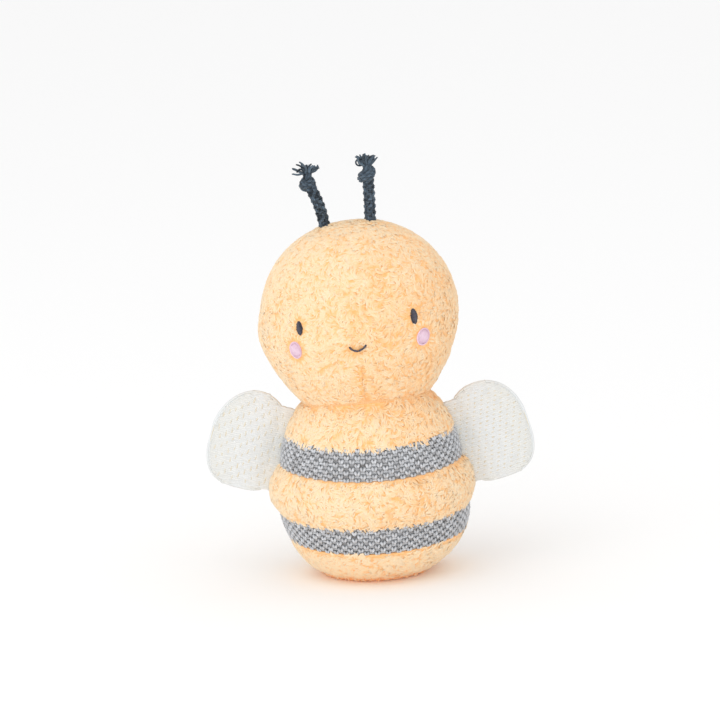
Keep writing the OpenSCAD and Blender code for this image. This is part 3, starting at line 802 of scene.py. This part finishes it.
STITCH, YARN_R = (2.8, 1.9), 0.68
STRIPE_SINK, STRIPE_T, STRIPE_UP = 1.5, 0.8, 0.4
V_FOOT, V_SPREAD, V_HALF = 0.11, 0.28, 0.55
BAR_HALF, BAR_BOW, BAR_DROP = 0.56, 0.28, 0.1
V_TINT, BAR_TINT = (19, 3.0), (13, 5.0)


def laid(surface, u, v, h):
    """Paths along (u, v) places at heights over a surface, with their outward ways."""
    paths = surface(u, v, h)
    return paths, surface(u, v, h + 1) - paths


def stitch(cloth, surface, u, v, h, radii, tint):
    """Short yarns along places at heights over a surface."""
    paths, out = laid(surface, u, v, h)
    cloth.strands(paths, np.repeat(radii[None], len(paths), 0), out, 6, columns_of(tint))


def knit(cloth, surface, i, j, pitch, yarn):
    """Stitches in columns i and rows j of a surface."""
    cell_w, cell_h = pitch
    u0 = (i * cell_w)[:, None]
    v0 = (j * cell_h)[:, None]
    t = np.linspace(-1, 1, 5)
    raised = (i + j) % 2 == 0
    n = int(raised.sum())
    for side in (-1, 1):
        u = u0[raised] + side * cell_w * (V_FOOT + V_SPREAD * (t + 1) / 2) + rng.normal(0, 0.06, (n, 1))
        v = v0[raised] + V_HALF * cell_h * t + rng.normal(0, 0.06, (n, 1))
        stitch(cloth, surface, u, v, yarn * (0.95 - 0.75 * t ** 2), yarn * (1.0 - 0.25 * t ** 2),
               rng.normal(*V_TINT, n))
    n = int((~raised).sum())
    u = u0[~raised] + BAR_HALF * cell_w * t
    v = v0[~raised] + cell_h * (BAR_BOW * (1 - t ** 2) - BAR_DROP) + rng.normal(0, 0.05, (n, 1))
    stitch(cloth, surface, u, v, yarn * (0.1 - 0.5 * t ** 2), yarn * 0.92 * np.ones_like(t),
           rng.normal(*BAR_TINT, n))


def stripe(name, low, high, start, node):
    """Half of a knitted stripe."""
    line = resample(swell(low, high, STRIPE_BULGE), 0.5)
    out = outward(line)
    run = run_along(line)
    mean_r = line[:, 0].mean()
    sweep = math.pi * mean_r
    columns = 2 * int(round(sweep / STITCH[0] / 2))
    pitch = (sweep / columns, STITCH[1])

    def surface(u, v, h):
        v = v + STRIPE_UP
        r, z = [np.interp(v, run, line[:, k]) + (h - YARN_R) * np.interp(v, run, out[:, k]) for k in (0, 1)]
        return drape(polar(r, math.radians(start) + (u + pitch[0] / 2) / mean_r, z))

    cloth = Cloth()
    back = sink(line, STRIPE_SINK)
    cloth.shell(drape(revolve(back, start, 180, 90)), drape(revolve(sink(back, STRIPE_T), start, 180, 90)))
    i, j = np.meshgrid(np.arange(columns), np.arange(int(run[-1] / STITCH[1]) + 1), indexing="ij")
    knit(cloth, surface, i.ravel(), j.ravel(), pitch, YARN_R)
    return cloth.piece(name, GREY_KNIT, "stripe_knit", node)


SEAMS = list(zip(SEAM_R, SEAM_Z))
for half, start in (("front", FRONT), ("back", BACK)):
    for level, low, high in (("lower", SEAMS[0], SEAMS[1]), ("upper", SEAMS[2], SEAMS[3])):
        node = f"{level}_stripe_{half}"
        body_pieces.append(stripe(f"{node}_knit", low, high, start, node))


# Wings: soft white rows of knit with short beige floats

WING_STITCH, WING_SHIFT, WING_YARN_R, WING_SOFT = (3.5, 2.15), 0.24, 0.6, 0.4
# Floats lie at one in so many places, at an angle to the row and with half a length
WING_FLOATS = {"left": (1, math.radians(18), 0.7), "right": (2, math.radians(96), 1.5)}
FLOAT_END, FLOAT_EDGE = 1.0, 2.5
WING_BACK_IN, WING_BACK_SHARE, WING_BACK_SINK, WING_BACK_MIN = 0.25, 0.985, 0.3, 0.12
ROW_END, ROW_STEPS, ROW_COUNT, ROW_LOOPS = 0.9, 64, 11, (-5, 15)
RIM_R, RIM_STEPS, RIM_ROWS = 0.62, 160, ((1.0, 0.42), (0.955, 0.75))
WING_BLEND, WING_SEAM_STEPS = (-2.5, 3.0), 5
WING_SPAN = WING_REACH - WING_BACK_IN - WING_MID
WING_TURNS = np.linspace(math.asin((WING_ROOT - WING_MID) / WING_SPAN), math.radians(88), 44)
WING_S = np.concatenate([np.linspace(WING_IN, WING_ROOT, WING_SEAM_STEPS + 1)[:-1],
                         WING_MID + WING_SPAN * np.sin(WING_TURNS)])


def wing_width(s, t, top):
    """Half height of a wing at a distance from its hinge line, above or below the middle."""
    share = np.clip(np.abs(np.maximum(s, WING_ROOT) - WING_MID) / (WING_REACH - WING_MID), 0, 1)
    power = np.where(t < 0, WING_LOW_POWER, top)
    return WING_HALF * (1 - share ** power) ** (1 / power)


def wing_thick(s, t, top):
    """Half thickness of a wing."""
    share = fade(np.abs(t), np.maximum(wing_width(s, t, top), 0.01))
    middle = (WING_ROOT + WING_REACH) / 2
    length = (WING_REACH - WING_ROOT) / 2
    along = np.clip(1 - ((s - middle) / length) ** 2, 0, 1)
    return WING_EDGE + WING_CROWN * (1 - share ** 2) * along ** 0.7


def wing_backing(cloth, placed, side, facing, top):
    """The cloth under the knit."""
    share = np.sin(np.linspace(-math.pi / 2, math.pi / 2, 41))
    s = np.repeat(WING_S[:, None], len(share), 1)
    t = share * wing_width(s, share, top)
    thick = np.maximum(wing_thick(s, t, top) - WING_BACK_SINK, WING_BACK_MIN)
    sheets = [placed(s, WING_BACK_SHARE * t, facing * half) for half in (thick, 0.02 * np.ones_like(t))]
    if side * facing > 0:
        sheets = [sheet[:, ::-1] for sheet in sheets]
    cloth.shell(*sheets)


def wing_rows(cloth, surface, low, high, at, shift):
    """Soft rows, each of two yarns that swell at every loop."""
    pitch_s, pitch_t = WING_STITCH
    share = np.linspace(0, 1, ROW_STEPS)
    u = low[:, None] + (high - low)[:, None] * share
    wave = 2 * math.pi * (u / pitch_s - shift[:, None])
    radii = WING_YARN_R * (1.3 + 0.06 * np.cos(wave)) * np.sqrt(1 - 0.7 * (2 * share - 1) ** 30)
    for ply in (-0.5, 0.5):
        v = at[:, None] + 0.5 * ply * pitch_t + 0.06 * pitch_t * np.sin(wave)
        h = WING_YARN_R * (0.5 + 0.08 * np.cos(wave) + rng.normal(0, 0.05, wave.shape))
        paths, out = laid(surface, u, v, h)
        cloth.strands(paths, radii, out, 8, np.rint(np.abs(rng.normal(0, 1.5, len(at)))), WING_SOFT)


def wing_floats(cloth, surface, u0, v0, turn, half):
    """Short beige yarns lying over the places where loops meet."""
    t = np.linspace(-1, 1, 5)
    one = (len(u0), 1)
    half = half * (1 + 0.3 * np.abs(rng.normal(0, 1, one)))
    turn = turn + rng.normal(0, 0.15, one)
    u = u0[:, None] + half * np.cos(turn) * t + rng.normal(0, 0.12, one)
    v = v0[:, None] + half * np.sin(turn) * t + rng.normal(0, 0.12, one)
    h = WING_YARN_R * (1.25 - 0.4 * t ** 2 + rng.normal(0, 0.08, one))
    stitch(cloth, surface, u, v, h, 0.75 * WING_YARN_R * np.sqrt(1.15 - t ** 2), rng.uniform(15, 23, len(u0)))


def wing_knit(cloth, surface, label, top):
    """The rows, which end at the wing's outline or run into the side seam, and their floats."""
    row = np.arange(-ROW_COUNT, ROW_COUNT + 1)
    at_t = row * WING_STITCH[1]
    power = np.where(at_t < 0, WING_LOW_POWER, top)
    half = (WING_REACH - WING_MID) * (1 - (np.abs(at_t) / WING_HALF) ** power) ** (1 / power)
    low = np.where(WING_MID - half < WING_ROOT, WING_IN, WING_MID - half + ROW_END)
    high = WING_MID + half - ROW_END
    wing_rows(cloth, surface, low, high, at_t, WING_SHIFT * row)
    every, turn, length = WING_FLOATS[label]
    i, j = np.meshgrid(np.arange(*ROW_LOOPS), np.arange(len(row)), indexing="ij")
    s = (i + 0.5 + WING_SHIFT * row[j]) * WING_STITCH[0]
    t = at_t[j] + 0.5 * WING_STITCH[1]
    keep = (s > low[j] + FLOAT_END) & (s < high[j] - FLOAT_END) & ((i + j) % every == 0)
    keep &= wing_width(s, t, top) - np.abs(t) > FLOAT_EDGE
    wing_floats(cloth, surface, s[keep], t[keep], turn, length)


def wing_rim(cloth, placed, facing, top):
    """Two yarns along the sewn edge."""
    s = WING_S[WING_SEAM_STEPS:]
    edge = np.concatenate([np.stack([s, -wing_width(s, -1.0, top)], 1),
                           np.stack([s, wing_width(s, 1.0, top)], 1)[::-1]])
    edge_s, edge_t = resample(edge, count=RIM_STEPS).T
    hub = placed(WING_MID, 0.0, 0.0)
    for share, lift in RIM_ROWS:
        path = placed(WING_MID + share * (edge_s - WING_MID), share * edge_t,
                      facing * lift * np.ones(RIM_STEPS))
        cloth.strand(path, RIM_R, path - hub, 6, 0)


def wing_panel(side, label, face, *nodes):
    """The front or back knit of one wing, sewn at its edge and caught in the side seam."""
    root = middle_of(f"{label}_wing_roll")
    facing = -1 if face == "front" else 1
    top = WING_TOP_POWER[label]

    def placed(s, t, y):
        x, z = turned(s, t, -math.radians(HINGE_TURN))
        return np.stack([root[0] + side * x, y, root[2] + z], -1)

    def surface(u, v, h):
        return placed(u, v, facing * (wing_thick(u, v, top) + h - WING_YARN_R))

    cloth = Cloth()
    wing_backing(cloth, placed, side, facing, top)
    wing_knit(cloth, surface, label, top)
    wing_rim(cloth, placed, facing, top)
    obj = cloth.piece(f"{label}_wing_{face}_knit", IVORY_KNIT, "wing_knit", *nodes)
    start, end = [tuple(placed(s, 0.0, 0.0) * MM) for s in WING_BLEND]
    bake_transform(obj)
    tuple(start)
    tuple(end)


for side, label in ((1, "left"), (-1, "right")):
    wing_panel(side, label, "front", f"{label}_wing_front", f"{label}_wing_roll")
    wing_panel(side, label, "back", f"{label}_wing_back")


# Antennae: a braid of plied yarns, a knot and frayed ends

BRAID_R, BRAID_TURN, BRAID_WAVE, BRAID_FROM, BRAID_STEPS = 2.0, 13.0, 0.32, -3.5, 112
CORE_R, BRAID_YARN_R, KNOT_YARN_R, FOOT_YARN_R = 1.9, 0.85, 0.95, 0.7
YARNS, PLIES, PLY_TWIST, PLY_OFF, PLY_R = 4, 3, 3.0, 0.5, 0.58
END_R, END_OUT = 0.54, 1.7
STUB_R, STUB_H, STUB_YARNS, STUB_YARN_R = 1.55, 2.6, 9, 0.62
BALL_LAT_DEG, BALL_WIND_DEG, BALL_CORE, BALL_HOLLOW = 78, 66, 0.78, 0.7
LOOP_AT, LOOP_SIZE, LOOP_R = (-3.6, 6.6), (1.9, 1.7), 0.45


def any_tint():
    """A tint column near the middle one."""
    return float(columns_of(round(rng.normal(11.0, 7))))


def tube(cloth, placed, path, radius, tint, sides=6, middle=None):
    """One yarn along points, with its side turned from a middle line, or else from the axis."""
    out = path - (UP * path[:, 2:3] if middle is None else middle)
    cloth.strand(placed(path), radius, placed(out) - placed(np.zeros((1, 3))), sides, tint)


def plied(cloth, placed, path, out, radius):
    """A yarn of twisted plies along points, with a side direction at each."""
    run = unit(np.gradient(path, axis=0))
    across = unit(np.cross(run, out))
    rise = np.cross(across, run)
    for ply in range(PLIES):
        phase = 2 * math.pi * (ply / PLIES + run_along(path) / PLY_TWIST)[:, None]
        moved = path + PLY_OFF * radius * (np.cos(phase) * rise + np.sin(phase) * across)
        tube(cloth, placed, moved, PLY_R * radius, any_tint(), sides=5, middle=path - rise)


def braid(cloth, placed):
    """Yarns wound both ways round a core, over and under one another."""
    z = np.linspace(BRAID_FROM, KNOT_S, BRAID_STEPS)
    wave = 2 * math.pi / BRAID_TURN
    tube(cloth, placed, polar(0.0, z, z), CORE_R, 6, sides=8, middle=np.array([-1.0, 0, 0]))
    for way in (-1, 1):
        for yarn in range(YARNS):
            turn = 2 * math.pi * yarn / YARNS + way * wave * z
            path = polar(BRAID_R + way * BRAID_WAVE * np.cos(YARNS * wave * z), turn, z)
            plied(cloth, placed, path, polar(1.0, turn, 0.0), BRAID_YARN_R)


def tilted(points, x_deg, y_deg):
    """Points turned about X, then about Y."""
    x, y, z = np.moveaxis(points, -1, 0)
    y, z = turned(y, z, math.radians(x_deg))
    x, z = turned(x, z, -math.radians(y_deg))
    return np.stack([x, y, z], -1)


def wound_ball(cloth, placed, centre, size, tilt, yarn, turns=4):
    """Yarn wound side by side over a lump."""
    centre = np.array(centre)
    size = np.array(size)
    lat = np.radians(np.linspace(-BALL_LAT_DEG, BALL_LAT_DEG, 13))[:, None]
    core = polar(np.cos(lat), np.linspace(0, 2 * math.pi, 25), np.sin(lat)) * size * BALL_CORE
    cloth.shell(*[placed(tilted(core * share, *tilt) + centre) for share in (1.0, BALL_HOLLOW)])
    t = np.linspace(0, 1, 30 * turns)
    high = np.radians(BALL_WIND_DEG * (2 * t - 1))
    path = tilted(polar(np.cos(high), 2 * math.pi * turns * t, np.sin(high)) * (size - yarn), *tilt)
    plied(cloth, placed, path + centre, path, yarn)


def crossing(cloth, placed, centre, size, tilt):
    """One loop of the cord over the outside of a knot."""
    turn = np.linspace(0, 2 * math.pi, 40)
    path = tilted(polar(1.0, turn, 0.5 * np.sin(2 * turn)) * (*size, 1), *tilt)
    plied(cloth, placed, path + np.array(centre), path, KNOT_YARN_R)


def stub(cloth, placed, z):
    """The short bundle of cord past the knot."""
    t = np.linspace(0, 1, 5)
    for i in range(STUB_YARNS):
        turn = 2 * math.pi * i / STUB_YARNS + 0.5 * t
        tube(cloth, placed, polar(STUB_R + 0.3 * t ** 2, turn, z + STUB_H * t), STUB_YARN_R, any_tint())


def tassel(cloth, placed, z, fan, depth, count, length, droop):
    """Loose yarn ends that fan out from the stub, sideways between two angles and to the front and back."""
    t = np.linspace(0, 1, 10)
    for i in range(count):
        lean = math.radians(fan[0] + (fan[1] - fan[0]) * (i + 0.5) / count + rng.normal(0, 8))
        deep = math.radians(rng.uniform(-depth, depth))
        reach = rng.uniform(*length) / (len(t) - 1)
        angle = lean * (0.35 + 0.65 * t) + droop * lean * abs(lean) * t ** 2
        angle += rng.normal(0, 0.4) * np.sin(5 * t)
        back = deep * (0.4 + 0.6 * t)
        steps = reach * np.stack([np.sin(angle), np.sin(back), np.cos(angle) * np.cos(back)], -1)
        steps[0] = END_OUT * math.sin(lean), END_OUT * math.sin(deep), z
        tube(cloth, placed, np.cumsum(steps, 0), END_R * (1 - 0.35 * t ** 3), any_tint(),
             middle=np.array([0, 0.3, z - 9.0]))


def round_knot(cloth, placed):
    """A round knot with an open splayed tassel that stands upright."""
    knot = np.array([0, 0, KNOT_S])
    wound_ball(cloth, placed, (-0.5, 0, KNOT_S), (4.4, 4.1, 3.5), (8, -8), KNOT_YARN_R)
    crossing(cloth, placed, (-0.5, 0, KNOT_S), (3.6, 3.4), (55, -25))

    def upright(p):
        return placed(tilted(p - knot, 0, 17) + knot)

    stub(cloth, upright, KNOT_S + 2.6)
    tassel(cloth, upright, KNOT_S + 4.6, fan=(-78, 74), depth=40, count=22, length=(4.6, 7.6), droop=0.4)


def sloped_knot(cloth, placed):
    """A flatter knot lying aslant, with a fuller upright tassel and one closed loop."""
    wound_ball(cloth, placed, (-0.6, 0, KNOT_S), (5.3, 4.3, 3.3), (8, -32), KNOT_YARN_R)
    crossing(cloth, placed, (0.2, 0, KNOT_S + 0.4), (3.9, 3.6), (40, -62))
    stub(cloth, placed, KNOT_S + 2.4)
    tassel(cloth, placed, KNOT_S + 4.2, fan=(-60, 50), depth=45, count=40, length=(4.2, 7.4), droop=0.2)
    turn = np.linspace(-2.6, 2.6, 22)
    x, z = LOOP_AT[0], KNOT_S + LOOP_AT[1]
    loop = np.stack([x - LOOP_SIZE[0] * np.cos(turn), np.full_like(turn, -0.8),
                     z + LOOP_SIZE[1] * np.sin(turn)], -1)
    tube(cloth, placed, loop, LOOP_R, any_tint(), middle=np.array([x, 0, z]))


def antenna(label, lean, bow, knot):
    """A braided cord tied in a knot, with frayed ends."""
    foot = middle_of(f"{label}_antenna_root")

    def placed(p):
        x, y, z = np.moveaxis(p, -1, 0)
        share = fade(z, KNOT_S)
        x, z = turned(x + 4 * bow * share * (1 - share), z, -math.radians(lean))
        return np.stack([x, y, z], -1) + foot

    cloth = Cloth()
    braid(cloth, placed)
    knot(cloth, placed)
    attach(cloth.piece(f"{label}_antenna_braid", NAVY_CORD, "cord", f"{label}_antenna"), f"{label}_antenna")


def antenna_foot(label):
    """The sewn-in end of a cord, a small wound ball under the pile."""
    node = f"{label}_antenna_root"
    low, high = [np.array(corner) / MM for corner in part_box(node)]
    cloth = Cloth()
    wound_ball(cloth, lambda p: p + middle_of(node), (0, 0, 0), (high - low) / 2 - 0.1, (0, 0), FOOT_YARN_R)
    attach(cloth.piece(f"{label}_antenna_foot", NAVY_CORD, "cord", node), node)


antenna_foot("left")
antenna_foot("right")
antenna("left", 2.5 - HEAD_LEAN, 0.2, sloped_knot)
antenna("right", -15.5 - HEAD_LEAN, 1.1, round_knot)


# Embroidery, over the head's solid

SATIN_R, SATIN_LOW, SATIN_PITCH, PAD_SINK, PAD_T = 0.24, -0.35, 1.65, 0.12, 1.0
EYE_WAY, EYE_CROWN, EYE_POINT = 12, 0.75, 0.72
CHEEK_WAY, CHEEK_CROWN, CHEEK_RIM = 62, 0.5, 0.36
SMILE_OVERLAP, SMILE_SAG, SMILE_LOW, SMILE_CROWN, SMILE_R, SMILE_SWELL = 0.06, 0.12, 0.15, 0.3, 0.36, 0.18


def face_point(az, x, z, lift):
    """Points on the face, seen from straight out at a face angle, lifted off the head's solid."""
    r = head_radius(z) + lift
    x, y = turned(x, -np.sqrt(np.maximum(r ** 2 - x ** 2, 0)), math.radians(az - FACE_YAW))
    return on_head(np.stack([x, y, z], -1))


def satin(name, material, slot, node, patch, way, crown, point=0.5, rim=0.0):
    """A patch of satin stitch over a padded base: threads side by side, highest in the middle.

    A point of 0.5 makes an oval and a larger one a lens, and a rim is the radius of a cord round the edge.
    """
    az, z, w, h, slant = patch
    turn = math.radians(way)

    def on_face(a, b, lift):
        x, y = turned(a, b, math.radians(slant))
        return face_point(az, x, z + y, lift)

    cloth = Cloth()
    ring = np.linspace(0.02, 0.96, 8)[:, None]
    lon = np.linspace(0, 2 * math.pi, 33)[None]
    pad_a = ring * np.sign(np.cos(lon)) * np.abs(np.cos(lon)) ** (2 * point) * w / 2
    pad_b = ring * np.sin(lon) * h / 2
    pad = SATIN_LOW + crown * (1 - ring ** 2) - PAD_SINK + 0 * lon
    cloth.shell(on_face(pad_a, pad_b, pad)[:, ::-1], on_face(pad_a, pad_b, pad - PAD_T)[:, ::-1])
    if rim:
        lon = np.linspace(0, 2.04 * math.pi, 64)
        path, out = laid(on_face, (w / 2 - rim) * np.cos(lon), (h / 2 - rim) * np.sin(lon), SATIN_LOW + 0.2)
        cloth.strand(path, rim, out, 8, 3)
        w, h = w - 4 * rim, h - 4 * rim
    span = np.hypot(w / 2 * math.sin(turn), h / 2 * math.cos(turn))
    count = int(2 * span / (SATIN_PITCH * SATIN_R))
    t = np.linspace(-1, 1, 9)
    for k in range(count):
        off = span * (2 * (k + 0.5) / count - 1)
        half = max(1 - (off / span) ** 2, 0) ** point * (w / 2 * h / 2) / span
        run = half * t * rng.normal(1, 0.06) + rng.normal(0, 0.08)
        a, b = turned(run, off, turn)
        high = SATIN_LOW + crown * np.clip(1 - (a / (w / 2)) ** 2 - (b / (h / 2)) ** 2, 0, 1)
        path = on_face(a, b, high + rng.normal(0, 0.03))
        cloth.strand(path, SATIN_R, on_face(a, b, high + 1) - path, 6, rng.integers(3, COLUMNS - 3))
    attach(cloth.piece(name, material, slot, node), "head")


def smile():
    """The smile: back stitches end to end."""
    cloth = Cloth()
    t = np.linspace(-SMILE_OVERLAP, 1 + SMILE_OVERLAP, 7)
    bow = np.sin(math.pi * fade(t + SMILE_OVERLAP, 1 + 2 * SMILE_OVERLAP))
    for k in range(len(SMILE_STITCHES) - 1):
        (x0, z0), (x1, z1) = SMILE_STITCHES[k:k + 2]
        z = SMILE_Z + z0 + (z1 - z0) * t - SMILE_SAG * bow
        path, out = laid(lambda x, z, lift: face_point(SMILE_AZ, x, z, lift), x0 + (x1 - x0) * t, z,
                         SMILE_LOW + SMILE_CROWN * bow)
        cloth.strand(path, SMILE_R + SMILE_SWELL * bow, out, 8, 8 + 7 * (k % 2))
    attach(cloth.piece("smile_stitches", EYE_THREAD, "eye_thread", "smile"), "head")


for label, patch in EYES.items():
    satin(f"{label}_eye_satin", EYE_THREAD, "eye_thread", f"{label}_eye", patch, EYE_WAY,
          EYE_CROWN, point=EYE_POINT)
for label, patch in CHEEKS.items():
    satin(f"{label}_cheek_satin", CHEEK_THREAD, "cheek_thread", f"{label}_cheek", (*patch, 0), CHEEK_WAY,
          CHEEK_CROWN, rim=CHEEK_RIM)
smile()


# Inside: thread of the neck seam, stuffing, wadding and the bag of pellets

WHIPS, WHIP_R, WHIP_IN, WHIP_BOW, WHIP_SLANT, WHIP_UP, WHIP_HALF = 230, 0.5, 0.1, 0.6, 0.03, 0.5, 1.1
FILL_IN = 0.1


def neck_whip():
    """Whip stitches round the neck crease, between the piles."""
    cloth = Cloth()
    turn = 2 * math.pi * np.arange(WHIPS)[:, None] / WHIPS
    t = np.linspace(-1, 1, 6)
    paths = polar(NECK_R + WHIP_IN + WHIP_BOW * (1 - t ** 2), turn + WHIP_SLANT * t,
                  CREASE_Z + WHIP_UP + WHIP_HALF * t)
    cloth.strands(lean_shoulder(paths), np.full((WHIPS, len(t)), WHIP_R), polar(1.0, turn, 0.0)[:, 0], 6,
                  rng.integers(4, 20, WHIPS).astype(float))
    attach(cloth.piece("neck_seam_whip", SEAM_THREAD, "seam_thread", "neck_seam"), "neck_seam")


def filling(node, body, slot, material, voxel, rough):
    """Loose filling in the shape of a node, uneven and a little inside it."""
    source = put("source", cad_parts[node].data.copy())
    remesh = source.modifiers.new("remesh", "REMESH")
    remesh.mode = "VOXEL"
    remesh.voxel_size = voxel * MM
    mesh = bpy.data.meshes.new_from_object(source.evaluated_get(bpy.context.evaluated_depsgraph_get()))
    bpy.data.objects.remove(source)
    mesh.name = f"{node}_fill"
    place, normal = np.zeros((2, len(mesh.vertices), 3), np.float32)
    mesh.vertices.foreach_get("co", place.ravel())
    mesh.vertices.foreach_get("normal", normal.ravel())
    lumps = 0.5 + 0.5 * np.clip(drift(place / MM, 2), -1, 1)
    moved = place - (FILL_IN + rough * lumps)[:, None] * MM * normal
    mesh.vertices.foreach_set("co", moved.astype(np.float32).ravel())
    mesh.materials.clear()
    obj = dressed(mesh, material, slot, node)
    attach(obj, body)


neck_whip()
filling("body_stuffing", "body", "stuffing", STUFFING, 2.0, 1.2)
filling("head_stuffing", "head", "stuffing", STUFFING, 2.0, 1.2)
filling("neck_stuffing", "neck", "stuffing", STUFFING, 1.2, 0.4)
filling("pellet_bag", "body", "bag_cloth", BAG_CLOTH, 1.2, 0.6)
for label in ("left", "right"):
    filling(f"{label}_wing_wadding", f"{label}_wing", "stuffing", STUFFING, 0.7, 0.15)

for obj in body_pieces:
    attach(obj, "body")
for obj in head_pieces:
    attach(obj, "head")


# Floor, light and camera: places and sizes of the lights in metres, their power in watts

FLOOR_HALF, FLOOR_WHITE = 8.0, (0.97, 0.97, 0.97, 1)
ROOM_LIGHT = 0.96
LIGHT_AIM = (0, 0, 0.11)
LIGHTS = {"key": ((-0.6, -0.9, 1.6), 1.6, 1.6, 5.2), "fill": ((-0.25, -1.4, 0.13), 1.5, 0.24, 4.0)}
IMAGE_PX, FOCAL_PX = 720, 4960.0
CAMERA_UP_DEG, CAMERA_ROLL_DEG = 10.8, 2.4
CAMERA_MM, SENSOR_MM = 2500.0, 36.0
BASE_PX = (375.5, 569.5)


def studio():
    """A pale floor, a bright even room, a large soft light from the viewer's left and a low one in front."""
    mesh = bpy.data.meshes.new("floor")
    corners = [(x * FLOOR_HALF, y * FLOOR_HALF, 0) for x, y in ((-1, -1), (1, -1), (1, 1), (-1, 1))]
    mesh.from_pydata(corners, [], [(0, 1, 2, 3)])
    floor = put("floor", mesh)
    mat, shader, _ = new_material("floor_paper")
    settle(shader, {"Base Color": FLOOR_WHITE, "Roughness": 0.9})
    mesh.materials.append(mat)
    world = bpy.data.worlds.new("room")
    bpy.context.scene.world = world
    world.use_nodes = True
    settle(world.node_tree.nodes["Background"], {"Color": (1.0, 1.0, 1.0, 1), "Strength": ROOM_LIGHT})
    for name, (place, width, height, power) in LIGHTS.items():
        light = bpy.data.lights.new(name, "AREA")
        light.shape = "RECTANGLE"
        light.size = width
        light.size_y = height
        light.energy = power
        lamp = put(name, light)
        way = Vector(place) - Vector(LIGHT_AIM)
        lamp.matrix_world = Matrix.Translation(place) @ way.to_track_quat("Z", "Y").to_matrix().to_4x4()


def camera():
    """The photograph's view: the middle of the base falls on its own pixel."""
    up_deg = math.radians(CAMERA_UP_DEG)
    forward = np.array([0, math.cos(up_deg), -math.sin(up_deg)])
    up = np.array([0, math.sin(up_deg), math.cos(up_deg)])
    side, rise = turned(np.array([1.0, 0, 0]), up, math.radians(CAMERA_ROLL_DEG))
    off_x = (BASE_PX[0] - IMAGE_PX / 2) * CAMERA_MM / FOCAL_PX
    off_y = (IMAGE_PX / 2 - BASE_PX[1]) * CAMERA_MM / FOCAL_PX
    place = (-forward * CAMERA_MM - side * off_x - rise * off_y) * MM
    data = bpy.data.cameras.new("camera")
    data.sensor_width = SENSOR_MM
    data.lens = SENSOR_MM * FOCAL_PX / IMAGE_PX
    data.clip_end = 50.0
    obj = put("camera", data)
    axes = np.stack([side, rise, -forward], 1)
    obj.matrix_world = Matrix.Translation(place) @ Matrix(axes.tolist()).to_4x4()
    bpy.context.scene.camera = obj


studio()
camera()
bpy.context.scene.view_settings.view_transform = "Standard"
bpy.context.scene.cycles.max_bounces = 16
bpy.context.scene.cycles.diffuse_bounces = 16
